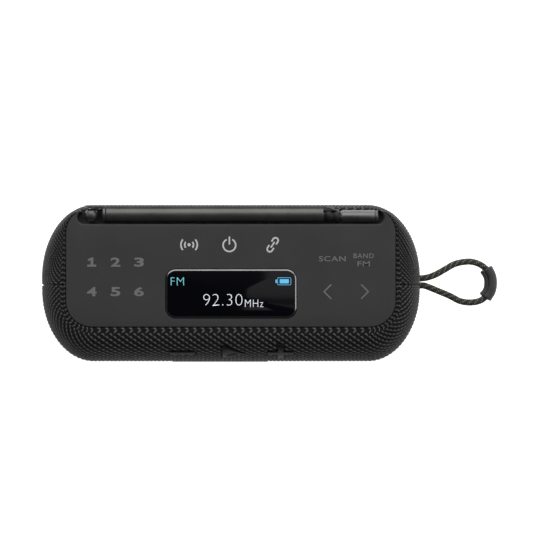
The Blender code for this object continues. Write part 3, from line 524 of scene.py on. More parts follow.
def grid_mesh(name, points, keep=None, closed=False, marks=None):
    """A mesh through a (rows, columns, 3) grid in millimetres.

    keep marks the quads that stay, closed joins each row's ends, and marks are values for "crest", which
    the yarns use to paint shade into the gaps between their crests.
    """
    rows, columns = points.shape[:2]
    index = np.arange(rows * columns).reshape(rows, columns)
    after = np.roll(index, -1, axis=1) if closed else index[:, 1:]
    here = index if closed else index[:, :-1]
    quads = np.stack([here[:-1], after[:-1], after[1:], here[1:]], axis=-1)
    quads = quads[keep] if keep is not None else quads
    used, quads = np.unique(quads, return_inverse=True)
    mesh = bpy.data.meshes.new(name)
    mesh.from_pydata((points.reshape(-1, 3)[used] * MM).tolist(), [], quads.reshape(-1, 4).tolist())
    mesh.shade_smooth()
    if marks is not None:
        layer = mesh.attributes.new("crest", "FLOAT", "POINT")
        layer.data.foreach_set("value", marks.reshape(-1)[used].astype(np.float32))
    return mesh


def surface_normals(points):
    """Unit normals of a grid of points, down its rows and then along its columns."""
    down = np.gradient(points, axis=0)
    along = np.gradient(points, axis=1)
    normal = np.cross(along, down)
    return normal / np.maximum(np.linalg.norm(normal, axis=2, keepdims=True), 1e-9)


def lengths_along(points, axis):
    """The distance from the first point of each row or column."""
    steps = np.linalg.norm(np.diff(points, axis=axis), axis=2)
    start = np.zeros_like(np.take(steps, [0], axis=axis))
    return np.concatenate([start, np.cumsum(steps, axis=axis)], axis=axis)


def smoothstep(value, start, end):
    share = np.clip((value - start) / (end - start), 0.0, 1.0)
    return share * share * (3 - 2 * share)


# ---- the body's surface ----
def half_outline(outline, half, counts):
    """Points round one half of the body, from its seam at +X to its seam at -X."""
    end_count, corner_count, side_count = counts
    long_side = outline.front if half == FRONT else outline.rear
    centre_x = outline.half_length - outline.corner_x
    centre_y = long_side - half * outline.corner_y
    seam = SEAM_Y + half * SEAM_GAP / 2
    y = np.linspace(seam, centre_y, end_count, endpoint=False)
    end = np.stack([np.full_like(y, outline.half_length), y], axis=1)
    angle = np.linspace(0, pi / 2, corner_count, endpoint=False)
    corner = np.stack([centre_x + outline.corner_x * np.cos(angle),
                       centre_y + half * outline.corner_y * np.sin(angle)], axis=1)
    x = np.linspace(centre_x, 0, side_count + 1)
    side = np.stack([x, np.full_like(x, long_side)], axis=1)
    right = np.concatenate([end, corner, side])
    return np.concatenate([right, right[-2::-1] * (-1, 1)])


def top_edge(half, counts):
    """The body's top edge, which drops behind the antenna."""
    end_count, corner_count, side_count = counts
    points = half_outline(TOP_EDGE, half, counts)
    drop = np.zeros(len(points))
    if half == REAR:
        angle = np.linspace(0, 90, corner_count, endpoint=False)
        right = np.concatenate([
            np.zeros(end_count), smoothstep(angle, *FABRIC_DROP_ANGLES), np.ones(side_count + 1)
        ])
        drop = np.concatenate([right, right[-2::-1]])
    y = points[:, 1] + drop * (REAR_LIP_Y - points[:, 1])
    z = TOP_EDGE.z + drop * (REAR_LIP_Z - TOP_EDGE.z)
    return np.stack([points[:, 0], y, z], axis=1)


def flat_ring(outline, half, counts):
    points = half_outline(outline, half, counts)
    return np.concatenate([points, np.full((len(points), 1), outline.z)], axis=1)


def even_angles(rows, roundness, width, height):
    """Angles from the edge to the waist whose points lie about evenly along a side of that size."""
    angle = np.linspace(pi / 2, 0, FINE_STEPS)
    power = 2 / roundness
    across = width * np.cos(angle).clip(0) ** power
    up = height * np.sin(angle).clip(0) ** power
    length = np.concatenate([[0], np.cumsum(np.hypot(np.diff(across), np.diff(up)))])
    return np.interp(np.linspace(0, length[-1], rows + 1), length, angle)


def side_grid(waist, edge, rows, roundness):
    """Rows of points from an edge of the body to its waist, along superellipses."""
    angle = even_angles(rows, roundness, *SIDE_SIZE)[:, None, None]
    power = 2 / roundness
    inset = 1 - np.cos(angle).clip(0) ** power
    height = np.sin(angle).clip(0) ** power
    grid = waist + inset * (edge - waist)
    grid[..., 2] = waist[:, 2] + (edge[:, 2] - waist[:, 2]) * height[..., 0]
    return grid


# ---- knitted cover ----
def knit(along, down):
    """The height, from 0 to 1, of a knit whose slanted stitches sit in rows like bricks."""
    height = np.zeros_like(along)
    first_row = np.floor(down / STITCH_ROW)
    for step in (-1, 0, 1):
        row = first_row + step
        shift = np.mod(np.maximum(row, 1), 2) * STITCH_LENGTH / 2
        middle = np.round((along - shift) / STITCH_LENGTH) * STITCH_LENGTH + shift
        over, under = along - middle, down - (row + 0.5) * STITCH_ROW
        steep, shallow = STITCH_SLANTS
        slant = steep + (shallow - steep) * smoothstep(row * STITCH_ROW, SLANT_START, SLANT_END)
        slant = np.radians(np.where(row == 1, slant, -slant))
        lengthwise = over * np.cos(slant) + under * np.sin(slant)
        across = under * np.cos(slant) - over * np.sin(slant) - STITCH_ARCH * lengthwise ** 2
        stitch = np.exp(-(lengthwise / STITCH_REACH) ** 4 - (across / STITCH_WIDTH) ** 2)
        height = np.maximum(height, stitch)
    return height


def nearest_on_outline(flat, outline):
    """Whether each point lies inside a closed outline, its nearest place on it and how far that is."""
    inside = np.zeros(len(flat), bool)
    nearest = flat.copy()
    gap = np.full(len(flat), np.inf)
    corners = np.array(outline, float)
    for start, end in zip(corners, np.roll(corners, -1, axis=0)):
        edge = end - start
        share = np.clip((flat - start) @ edge / (edge @ edge), 0, 1)
        foot = start + share[:, None] * edge
        distance = np.linalg.norm(flat - foot, axis=1)
        closer = distance < gap
        gap[closer] = distance[closer]
        nearest[closer] = foot[closer]
        crosses = (start[1] > flat[:, 1]) != (end[1] > flat[:, 1])
        if edge[1]:
            inside ^= crosses & (flat[:, 0] < start[0] + (flat[:, 1] - start[1]) * edge[0] / edge[1])
    return inside, nearest, gap


Opening = namedtuple("Opening", "origin across up out outline")


def badge_outline(grown=0.0):
    half_width, half_height = BADGE_HALF
    return centred_rectangle(half_width + grown, half_height + grown, BADGE_CORNER, 6)


def body_openings(half):
    """What the cover leaves open: the strap, and the buttons and badge in front or the port behind."""
    right, rear, upward = (1, 0, 0), (0, 1, 0), (0, 0, 1)
    half_y, half_z = (size + CLEARANCE for size in STRAP_HALF)
    strap = centred_rectangle(half_y, half_z, half_z - 0.1, 8)
    openings = [Opening(STRAP_PLACE, rear, upward, right, strap)]
    if half == REAR:
        port = centred_rectangle(*(size + CLEARANCE for size in PORT_HALF), PORT_CORNER, 8)
        return openings + [Opening(PORT_PLACE, right, upward, rear, port)]
    badge = badge_outline(CLEARANCE)
    openings.append(Opening((BADGE_X, BADGE_HOLE_Y, BADGE_Z), right, upward, (0, -1, 0), badge))
    for name, x in BUTTON_X.items():
        sign = sign_outline(name, BUTTON_GAP)
        openings.append(Opening((x, *BUTTON_CENTRE), right, (0, RISE, RUN), (0, -RUN, RISE), sign))
    return openings


def opened(points, openings):
    """Draws a grid's points inside an opening to its rim.

    Gives the points, the quads that stay and each point's distance from the nearest rim.
    """
    grid_shape = points.shape[:2]
    points = points.reshape(-1, 3).copy()
    lost = np.zeros(len(points), bool)
    rim = np.full(len(points), FAR)
    for opening in openings:
        across, up, out = (np.array(axis, float) for axis in opening[1:4])
        place = points - np.array(opening.origin, float)
        flat = np.stack([place @ across, place @ up], axis=1)
        near = (np.abs(place @ out) < OPENING_DEPTH) & (np.abs(flat).max(axis=1) < OPENING_SPAN)
        inside, nearest, gap = nearest_on_outline(flat[near], opening.outline)
        which = np.flatnonzero(near)
        rim[which] = np.minimum(rim[which], gap)
        within = which[inside]
        move = nearest[inside] - flat[within]
        points[within] += move[:, :1] * across + move[:, 1:] * up - FLANGE * out
        rim[within] = 0
        lost[within] = True
    lost = lost.reshape(grid_shape)
    keep = ~(lost[:-1, :-1] & lost[:-1, 1:] & lost[1:, :-1] & lost[1:, 1:])
    return points.reshape(*grid_shape, 3), keep, rim.reshape(grid_shape)


def round_the_body(points, half):
    """The distance round the body from its middle, as wales that leave the top edge squarely."""
    long_side = TOP_EDGE.front if half == FRONT else TOP_EDGE.rear
    centre_x = TOP_EDGE.half_length - TOP_EDGE.corner_x
    centre_y = long_side - half * TOP_EDGE.corner_y
    over = np.abs(points[..., 0]) - centre_x
    past = half * (points[..., 1] - centre_y)
    turn = np.arctan2(over.clip(0), past.clip(0))
    length = (centre_x + over.clip(max=0)) + CORNER_REACH * turn + END_DENSITY * (-past).clip(0)
    return -np.sign(points[..., 0]) * length


def make_cover(half, name):
    """One half of the knitted cover, in an upper and a lower piece that meet at the waist."""
    counts = GRID_COUNTS[half]
    waist = flat_ring(WAIST, half, counts)
    upper = side_grid(waist, top_edge(half, counts), UPPER_ROWS, UPPER_ROUNDNESS)
    lower = side_grid(waist, flat_ring(BASE_EDGE, half, counts), LOWER_ROWS, LOWER_ROUNDNESS)[::-1]
    whole = np.concatenate([upper, lower[1:]])
    normal = surface_normals(whole) * (-half)
    normal *= np.sign(np.sum(normal * (whole - (0, 0, WAIST.z)), axis=2, keepdims=True))
    down = lengths_along(whole, 0)
    crest = knit(round_the_body(whole, half), down)
    from_middle = np.abs(whole[..., 0])
    edge = np.minimum(down, down[-1] - down)
    seam = np.where(from_middle > SEAM_ZONE, np.abs(whole[..., 1] - SEAM_Y) - SEAM_GAP / 2, FAR)
    points, keep, rim = opened(whole, body_openings(half))
    hem = np.minimum(np.minimum(edge, seam), np.maximum(rim, RIM_HEM))
    tuck = np.clip(1 - hem / TUCK_WIDTH, 0, 1) ** 2 * TUCK_DEPTH
    lift = crest * STITCH_HEIGHT * smoothstep(hem, *HEM_RISE) - STITCH_SINK - tuck
    points += normal * lift[..., None]
    # painted shade: darker in the gaps between stitches and lighter on their crests, and more even
    # towards the ends
    gap_shade = crest + EVEN_SHARE * smoothstep(from_middle, *EVEN_ENDS) * (EVEN_GAP_SHADE - crest)
    for part, rows in (("upper", slice(0, UPPER_ROWS + 1)), ("lower", slice(UPPER_ROWS, None))):
        quads = slice(rows.start, rows.stop - 1 if rows.stop else None)
        mesh = grid_mesh(f"{name}_{part}", points[rows], keep[quads], marks=gap_shade[rows])
        piece = new_piece(f"{name}_{part}", mesh, "knit", "body", (name,))


# ---- outlines ----
def full_turn(steps):
    return [2 * pi * i / steps for i in range(steps)]


def quarter_turn(steps):
    return [pi / 2 * i / steps for i in range(steps + 1)]


def arc(centre_x, centre_y, radius, start, end, steps, radius_y=None):
    """Points along an arc, with its angles in degrees."""
    tall = radius if radius_y is None else radius_y
    angles = [radians(start + (end - start) * i / steps) for i in range(steps + 1)]
    return [(centre_x + radius * cos(a), centre_y + tall * sin(a)) for a in angles]


def rounded_rectangle(x0, x1, y0, y1, radius, steps=8):
    return (
        arc(x1 - radius, y0 + radius, radius, -90, 0, steps)
        + arc(x1 - radius, y1 - radius, radius, 0, 90, steps)
        + arc(x0 + radius, y1 - radius, radius, 90, 180, steps)
        + arc(x0 + radius, y0 + radius, radius, 180, 270, steps)
    )


def centred_rectangle(half_width, half_height, radius, steps, x=0, y=0):
    return rounded_rectangle(x - half_width, x + half_width, y - half_height, y + half_height,
                             radius, steps)


def sign_outline(name, grow=0.0):
    """The outline of a button's sign, round its own centre."""
    half = BUTTON_SPAN / 2 + grow
    bar = BUTTON_BAR / 2 + grow
    if name == "button_minus":
        return [(-half, -bar), (half, -bar), (half, bar), (-half, bar)]
    if name == "button_plus":
        return [
            (-half, -bar), (-bar, -bar), (-bar, -half), (bar, -half), (bar, -bar), (half, -bar),
            (half, bar), (bar, bar), (bar, half), (-bar, half), (-bar, bar), (-half, bar),
        ]
    left, top, right = PLAY_LEFT - grow, PLAY_HALF + 1.8 * grow, PLAY_RIGHT + 1.9 * grow
    return [(left, -top), (right, 0.0), (left, top)]


def level(outline, z):
    return [(x, y, z) for x, y in outline]


# ---- solids ----
def join_rings(shape, rings):
    """Faces between each closed ring of vertices and the next."""
    for lower, upper in zip(rings, rings[1:]):
        for i in range(len(lower)):
            j = (i + 1) % len(lower)
            shape.faces.new(list(dict.fromkeys((lower[i], lower[j], upper[j], upper[i]))))


def loft(rings, close_ends=True):
    """A skin through closed rings of points, with flat ends."""
    shape = bmesh.new()
    rows = [[shape.verts.new(point) for point in ring] for ring in rings]
    join_rings(shape, rows)
    if close_ends:
        shape.faces.new(rows[0][::-1])
        shape.faces.new(rows[-1])
    bmesh.ops.recalc_face_normals(shape, faces=shape.faces)
    return shape


def prism(outline, low, high):
    return loft([level(outline, z) for z in (low, high)])


def grown_outline(points, distance):
    """A closed anticlockwise outline moved outwards."""
    moved = []
    for i, (x, y) in enumerate(points):
        after, before = points[(i + 1) % len(points)], points[i - 1]
        along = Vector((after[0] - before[0], after[1] - before[1])).normalized()
        moved.append((x + along.y * distance, y - along.x * distance))
    return moved


def edge_rounding(radius, steps=5):
    """(how far in, how far down) pairs of a rounded edge, from its side to its top."""
    return [(radius * (1 - cos(a)), radius * (1 - sin(a))) for a in quarter_turn(steps)]


def rounded_block(outline, low, high, radius, steps=5):
    """A prism whose upper edge is round."""
    rings = [level(outline, low)]
    for inset, drop in edge_rounding(radius, steps):
        rings.append(level(grown_outline(outline, -inset), high - drop))
    return loft(rings)


def turned(profile, centre, axis, segments=64, closed=False):
    """A profile of (distance along the axis, radius) turned about an axis through centre."""
    direction = Vector(axis).normalized()
    side = direction.orthogonal().normalized()
    other = direction.cross(side)
    start = Vector(centre)
    shape = bmesh.new()
    rings = []
    for along, radius in profile:
        middle = start + direction * along
        if radius == 0:
            rings.append([shape.verts.new(middle)] * segments)
            continue
        rings.append([shape.verts.new(middle + radius * (cos(a) * side + sin(a) * other))
                      for a in full_turn(segments)])
    if closed:
        rings.append(rings[0])
    join_rings(shape, rings)
    bmesh.ops.recalc_face_normals(shape, faces=shape.faces)
    return shape


def rod(centre, axis, radius, start, end, segments=48):
    return turned([(start, 0), (start, radius), (end, radius), (end, 0)], centre, axis, segments)


def combined(base, tool, operation):
    """The boolean of two bmeshes, as a new bmesh."""
    objects = []
    for shape in (base, tool):
        mesh = bpy.data.meshes.new("shape")
        shape.to_mesh(mesh)
        shape.free()
        objects.append(new_object("shape", mesh))
    modifier = objects[0].modifiers.new("combine", "BOOLEAN")
    modifier.object = objects[1]
    modifier.operation = operation
    bpy.context.view_layer.update()
    evaluated = objects[0].evaluated_get(bpy.context.evaluated_depsgraph_get())
    result = bmesh.new()
    result.from_mesh(evaluated.to_mesh())
    evaluated.to_mesh_clear()
    for obj in objects:
        mesh = obj.data
        bpy.data.objects.remove(obj)
        bpy.data.meshes.remove(mesh)
    return result


def united(base, *tools):
    for tool in tools:
        base = combined(base, tool, "UNION")
    return base


def cut(base, *tools):
    for tool in tools:
        base = combined(base, tool, "DIFFERENCE")
    return base


def solid_piece(name, shape, look, body, replaces=(), bevel=0.0):
    """A bmesh in millimetres becomes a piece whose sharp edges are hard or bevelled."""
    bmesh.ops.remove_doubles(shape, verts=shape.verts, dist=MERGE_GAP)
    bmesh.ops.scale(shape, vec=(MM, MM, MM), verts=shape.verts)
    mesh = bpy.data.meshes.new(name)
    shape.to_mesh(mesh)
    shape.free()
    mesh.shade_smooth()
    mesh.set_sharp_from_angle(angle=SHARP_ANGLE)
    piece = new_piece(name, mesh, look, body, replaces)
    if bevel:
        round_edges(piece, bevel)
    return piece


def round_edges(piece, width):
    """Rounds a piece's hard edges with a Bevel modifier."""
    modifier = piece.modifiers.new("rounding", "BEVEL")
    modifier.width = width * MM
    modifier.segments = BEVEL_SEGMENTS
    modifier.limit_method = "ANGLE"
    modifier.angle_limit = BEVEL_ANGLE
    modifier.harden_normals = True


# ---- control panel ----
def top_opening():
    """The opening at the top of the body, anticlockwise from the seam at -X."""
    counts = (6, 24, 12)
    front = top_edge(FRONT, counts)[::-1]
    rear = top_edge(REAR, counts)
    return [(x, y) for x, y, _ in np.concatenate([front, rear])]


def trough_outline(reach, grow=0.0):
    """The antenna's trough seen from above: round at its ends and open at the back."""
    middle = TROUGH_FRONT + TROUGH_RADIUS
    radius = TROUGH_RADIUS + grow
    left, right = TROUGH_RADIUS - TROUGH_HALF_LENGTH, reach - TROUGH_RADIUS
    open_left, open_right = TROUGH_OPEN
    turn = degrees(acos((open_left - left) / radius))
    past = (open_right - right) / radius
    last = degrees(acos(past)) if past < 1 else 0.0
    return (
        [(open_left, TROUGH_BACK)]
        + arc(left, middle, radius, turn, 270, 16)
        + arc(right, middle, radius, -90, last, 16)
        + [(max(open_right, right + radius * cos(radians(last))), TROUGH_BACK)]
    )


def trough():
    """The trough's cutter, whose right end slopes up from the antenna's tip."""
    rings = [(TROUGH_FLOOR + drop, -inset, 0.0)
             for inset, drop in edge_rounding(TROUGH_FLOOR_ROUND, 4)[::-1]]
    rings += [(TROUGH_FLOOR + TROUGH_FLOOR_ROUND + TROUGH_SLOPE * share, 0.0, share * share)
              for share in (0.25, 0.5, 0.75)]
    rings += [(PANEL_TOP - drop, inset, 1.0) for inset, drop in edge_rounding(TROUGH_FLARE, 6)]
    rings.append((PANEL_TOP + 3, TROUGH_FLARE, 1.0))
    sloping = TROUGH_HALF_LENGTH - TROUGH_REACH
    return loft([level(trough_outline(TROUGH_REACH + sloping * share, grow), z)
                 for z, grow, share in rings])


def key_outline(name, grow=0.0):
    x, y, width, depth = KEYS[name]
    return centred_rectangle(width / 2 + grow, depth / 2 + grow, KEY_CORNER + grow, 6, x, y)


def window_outline(grow=0.0):
    x0, x1, y0, y1 = WINDOW
    return rounded_rectangle(x0 - grow, x1 + grow, y0 - grow, y1 + grow, WINDOW_CORNER + grow, 12)


def make_panel():
    outline = grown_outline(top_opening(), -PANEL_CLEARANCE)
    panel = rounded_block(outline, PANEL_BOTTOM, PANEL_TOP, PANEL_EDGE)
    holes = [prism(key_outline(name, KEY_CLEARANCE), PANEL_TOP - 2, PANEL_TOP + 1) for name in KEYS]
    holes.append(prism(window_outline(CLEARANCE), PANEL_BOTTOM - 1, PANEL_TOP + 1))
    post_hole = rod((*PIVOT[:2], 0), (0, 0, 1), POST_HOLE, 60, 70)
    panel = cut(panel, trough(), post_hole, *holes)
    solid_piece("panel", panel, "soft_touch", "body", ("top_panel",))


def make_keys():
    for name in KEYS:
        outline = key_outline(name, KEY_CLEARANCE - KEY_GAP)
        cap = rounded_block(outline, PANEL_TOP - KEY_DEPTH, PANEL_TOP, KEY_EDGE, 1)
        solid_piece(f"{name}_cap", cap, "soft_touch", name, (name,))


# ---- signs: raised print and lit characters ----
def stroke_faces(shape, points, width, bottom, top, closed=False):
    """Adds a ribbon of this width along a line, standing from bottom to top."""
    line = [Vector(point) for point in points]
    if closed:
        line = [line[-1], *line, line[0]]
    sides = []
    for i, point in enumerate(line):
        if closed and i in (0, len(line) - 1):
            continue
        before = (point - line[i - 1]).normalized() if i else (line[1] - point).normalized()
        after = (line[i + 1] - point).normalized() if i + 1 < len(line) else before
        mean = (before + after).normalized()
        normal = Vector((-mean.y, mean.x))
        reach = normal * width / 2 / max(normal.dot(Vector((-after.y, after.x))), 0.5)
        sides.append((point + reach, point - reach))
    if closed:
        sides.append(sides[0])
    sections = []
    for left, right in sides:
        corners = ((*left, top), (*right, top), (*right, bottom), (*left, bottom))
        sections.append([shape.verts.new(corner) for corner in corners])
    join_rings(shape, sections)
    if not closed:
        shape.faces.new(sections[0])
        shape.faces.new(sections[-1][::-1])


def lettering(shape, text, box, low, high, weight=0.0, spacing=1.0):
    """Adds characters that fill a box of x0, x1, y0, y1; weight thickens their strokes."""
    curve = bpy.data.curves.new("lettering", "FONT")
    curve.body = text
    curve.offset = weight
    curve.space_character = spacing
    curve.extrude = 0.5
    curve.resolution_u = 5
    writing = new_object("lettering", curve)
    bpy.context.view_layer.update()
    mesh = bpy.data.meshes.new_from_object(writing.evaluated_get(bpy.context.evaluated_depsgraph_get()))
    bpy.data.objects.remove(writing)
    bpy.data.curves.remove(curve)
    corners = np.array([vertex.co[:2] for vertex in mesh.vertices])
    (left, bottom), (right, top) = corners.min(axis=0), corners.max(axis=0)
    x0, x1, y0, y1 = box
    for vertex in mesh.vertices:
        x, y, z = vertex.co
        vertex.co = (x0 + (x - left) / (right - left) * (x1 - x0),
                     y0 + (y - bottom) / (top - bottom) * (y1 - y0), high if z > 0 else low)
    shape.from_mesh(mesh)
    bpy.data.meshes.remove(mesh)


def sign_piece(name, look, body, height, words=(), strokes=()):
    """A piece of words (text, box, weight, spacing) and strokes (line, width, whether closed)."""
    shape = bmesh.new()
    for text, box, weight, spacing in words:
        lettering(shape, text, box, *height, weight, spacing)
    for line, width, *closed in strokes:
        stroke_faces(shape, line, width, *height, *closed)
    bmesh.ops.recalc_face_normals(shape, faces=shape.faces)
    solid_piece(name, shape, look, body)


def key_sign(name, look, words=(), strokes=()):
    sign_piece(f"sign_{name}", look, f"key_{name}", SIGN_Z, words, strokes)


def make_signs():
    """The print on the keys, which moves with them."""
    x, y = KEYS["key_1"][:2]
    digit = prism([(x + across, y + up) for across, up in DIGIT_ONE], *SIGN_Z)
    solid_piece("sign_1", digit, "print_grey", "key_1")
    half_x, half_y = DIGIT_HALF
    for number in "23456":
        x, y = KEYS[f"key_{number}"][:2]
        box = x - half_x, x + half_x, y - half_y, y + half_y
        key_sign(number, "print_grey", [(number, box, *DIGIT_PRINT)])
    for name, words in KEY_WORDS.items():
        key_sign(name, "print_grey", words)
    for name, side in (("previous", -1), ("next", 1)):
        x, y = KEYS[f"key_{name}"][:2]
        chevron = [(x + side * across, y + up) for across, up in CHEVRON]
        key_sign(name, "print_grey", strokes=[(chevron, CHEVRON_STROKE)])

    x, y = KEYS["key_power"][:2]
    lines = [arc(x, y + POWER_RING_UP, *POWER_RING), [(x, y + up) for up in POWER_BAR]]
    key_sign("power", "print_light", strokes=[(line, ICON_STROKE) for line in lines])

    x, y = KEYS["key_broadcast"][:2]
    waves = [(arc(x, y, radius, start, start + WAVE_TURN, 14), ICON_STROKE)
             for radius in WAVE_RADII for start in WAVE_STARTS]
    dot = arc(x, y, DOT_RADIUS, 0, 330, 11), ICON_STROKE, True
    key_sign("broadcast", "print_light", strokes=[*waves, dot])

    x, y = KEYS["key_link"][:2]
    turn = Matrix.Rotation(LINK_TILT, 2)
    radius, low, high = LINK_RADIUS, *LINK_REACH
    half_link = [(-radius, low), *arc(0, high, radius, 180, 0, 12), (radius, low)]
    lines = half_link, [(-across, -up) for across, up in half_link], LINK_BAR
    placed = [[Vector((x, y)) + turn @ Vector(point) for point in line] for line in lines]
    key_sign("link", "print_light", strokes=[(line, ICON_STROKE) for line in placed])


# ---- display ----
def make_display():
    outer, inner = window_outline(), window_outline(-BEZEL_WIDTH)
    rings = [level(outer, BEZEL_BOTTOM)]
    rings += [level(grown_outline(outer, -inset), PANEL_TOP - drop) for inset, drop in BEZEL_EDGE]
    rings += [level(grown_outline(inner, BEZEL_LAND), PANEL_TOP), level(inner, PANEL_TOP),
              level(inner, BEZEL_BOTTOM)]
    bezel = loft(rings + [rings[0]], close_ends=False)
    solid_piece("display_frame", bezel, "bezel_metal", "body", ("display_bezel",))

    edge = window_outline(-BEZEL_WIDTH - LENS_GAP)
    middle = (WINDOW[0] + WINDOW[1]) / 2, (WINDOW[2] + WINDOW[3]) / 2
    rings = [level(edge, LENS_BOTTOM)]
    for share in LENS_SHARES:
        z = LENS_TOP + LENS_CROWN * (1 - share * share) - (LENS_EDGE_DROP if share == 1.0 else 0.0)
        shrunk = [[m + (value - m) * share for m, value in zip(middle, point)] for point in edge]
        rings.append(level(shrunk, z))
    solid_piece("display_glass", loft(rings), "display_gloss", "body", ("display_lens",))

    for name, (look, *word) in LIT_WORDS.items():
        sign_piece(f"display_{name}", look, "body", LIT_Z, words=[word])
    frame_line = rounded_rectangle(*BATTERY_FRAME, 0.5, 3)
    sign_piece("display_battery", "display_blue", "body", LIT_Z,
               strokes=[(frame_line, 0.25, True), *BATTERY_BARS])


# ---- front buttons ----
def slope_height():
    """How far the body's surface stands out along the buttons' slope, by the distance up it."""
    angle = np.linspace(0.05, pi / 2 - 0.01, 400)
    power = 2 / UPPER_ROUNDNESS
    y = WAIST.front + (1 - np.cos(angle) ** power) * (TOP_EDGE.front - WAIST.front)
    z = WAIST.z + (TOP_EDGE.z - WAIST.z) * np.sin(angle) ** power
    over, up = y - BUTTON_CENTRE[0], z - BUTTON_CENTRE[1]
    return over * RISE + up * RUN, up * RISE - over * RUN


def button_surface(name, flat, along, out):
    """Which points of a flat grid lie in a button's sign, and where all of them go."""
    inside, nearest, gap = nearest_on_outline(flat, sign_outline(name))
    placed = np.where(inside[:, None], flat, nearest)
    depth = np.where(inside, gap, 0.0)
    crown = BUTTON_PROUD - BUTTON_ROUND * np.clip(1 - depth / BUTTON_ROUND, 0, 1) ** 2
    if name == "button_play":
        hollow, _, inner_gap = nearest_on_outline(flat, PLAY_HOLLOW)
        crown -= PLAY_HOLLOW_DEPTH * np.where(hollow, smoothstep(inner_gap, 0.0, PLAY_HOLLOW_EDGE), 0.0)
    height = np.interp(placed[:, 1], along, out) + crown
    points = np.stack([
        BUTTON_X[name] + placed[:, 0],
        BUTTON_CENTRE[0] + placed[:, 1] * RISE - height * RUN,
        BUTTON_CENTRE[1] + placed[:, 1] * RUN + height * RISE,
    ], axis=1)
    return inside, points


def make_buttons():
    """Rubber signs that follow the body's surface, with round edges and skirts that run inwards."""
    along, out = slope_height()
    reach = BUTTON_SPAN / 2 + BUTTON_MARGIN
    line = np.linspace(-reach, reach, BUTTON_POINTS)
    across, up = np.meshgrid(line, line)
    flat = np.stack([across.ravel(), up.ravel()], axis=1)
    for name in BUTTON_X:
        inside, points = button_surface(name, flat, along, out)
        inside = inside.reshape(across.shape)
        keep = inside[:-1, :-1] | inside[:-1, 1:] | inside[1:, :-1] | inside[1:, 1:]
        mesh = grid_mesh(name, points.reshape(*across.shape, 3), keep)
        shape = bmesh.new()
        shape.from_mesh(mesh)
        rim = [edge for edge in shape.edges if edge.is_boundary]
        skirt = bmesh.ops.extrude_edge_only(shape, edges=rim)["geom"]
        lowered = [v for v in skirt if isinstance(v, bmesh.types.BMVert)]
        bmesh.ops.translate(shape, verts=lowered, vec=Vector((0, RUN, -RISE)) * BUTTON_SKIRT * MM)
        bmesh.ops.recalc_face_normals(shape, faces=shape.faces)
        shape.to_mesh(mesh)
        shape.free()
        mesh.shade_smooth()
        mesh.set_sharp_from_angle(angle=BUTTON_SHARP)
        new_piece(f"{name}_cap", mesh, "button_rubber", name, (name,))


def make_badge():
    """A blank enamelled plate that stands a little out of the cover."""
    plate = rounded_block(badge_outline(), *BADGE_REACH, BADGE_ROUND, 4)
    bmesh.ops.rotate(plate, verts=plate.verts, matrix=Matrix.Rotation(pi / 2, 3, "X"))
    bmesh.ops.translate(plate, verts=plate.verts, vec=(BADGE_X, 0, BADGE_Z))
    solid_piece("badge_plate", plate, "badge_enamel", "body", ("front_badge",))


# ---- antenna ----
def mast_ring(x, shrink=0.0):
    """The mast's section: a tube joined to the flat rib behind it."""
    ring = []
    half_rib, rib_reach = RIB_HALF - shrink, ARM_Y[1] - SLEEVE_Y - shrink
    for angle in full_turn(MAST_STEPS):
        over, up = cos(angle), abs(sin(angle))
        reach = SLEEVE_RADIUS - shrink
        if over > 0:
            rib = (over / rib_reach) ** RIB_SQUARENESS + (up / half_rib) ** RIB_SQUARENESS
            reach = max(reach, rib ** (-1 / RIB_SQUARENESS))
        ring.append((x, SLEEVE_Y + reach * over, PIVOT[2] + reach * sin(angle)))
    return ring


def mast_block(start, end, start_round, end_round, parts=1):
    """The mast's section from start to end, with round edges."""
    rings = [mast_ring(start + drop, inset) for inset, drop in edge_rounding(start_round, 4)[::-1]]
    rings += [mast_ring(start + (end - start) * i / parts) for i in range(1, parts)]
    rings += [mast_ring(end - drop, inset) for inset, drop in edge_rounding(end_round, 4)]
    return loft(rings)


def circle(x, radius, centre_y):
    return [(x, centre_y + radius * cos(a), PIVOT[2] + radius * sin(a)) for a in full_turn(64)]


def make_mast():
    start, end = SLEEVE_X
    y = ARM_Y[1]
    rib_end = [(end - 1, RIB_INNER), (RIB_END + 2.9, RIB_INNER), (RIB_END + 2.6, RIB_INNER + 0.4),
               (RIB_END, y), (end - 1, y)]
    rib = rounded_block(rib_end, PIVOT[2] - RIB_HALF + 0.2, PIVOT[2] + RIB_HALF - 0.05, 0.25, 3)
    sleeve = united(mast_block(start, end, 0.3, 0.25, 40), rib)
    solid_piece("mast_sleeve", sleeve, "antenna_satin", "antenna_mast",
                ("antenna_sleeve",))

    slope = (ROD_Y - SLEEVE_Y + NECK_DROP) / (FERRULE_END - end)
    rings = [circle(end + along, radius, SLEEVE_Y - NECK_DROP + slope * along)
             for along, radius in NECK]
    rings += [circle(x, NECK_BORE, ROD_Y) for x in (FERRULE_END, end)]
    solid_piece("mast_neck", loft(rings), "antenna_neck", "antenna_mast")


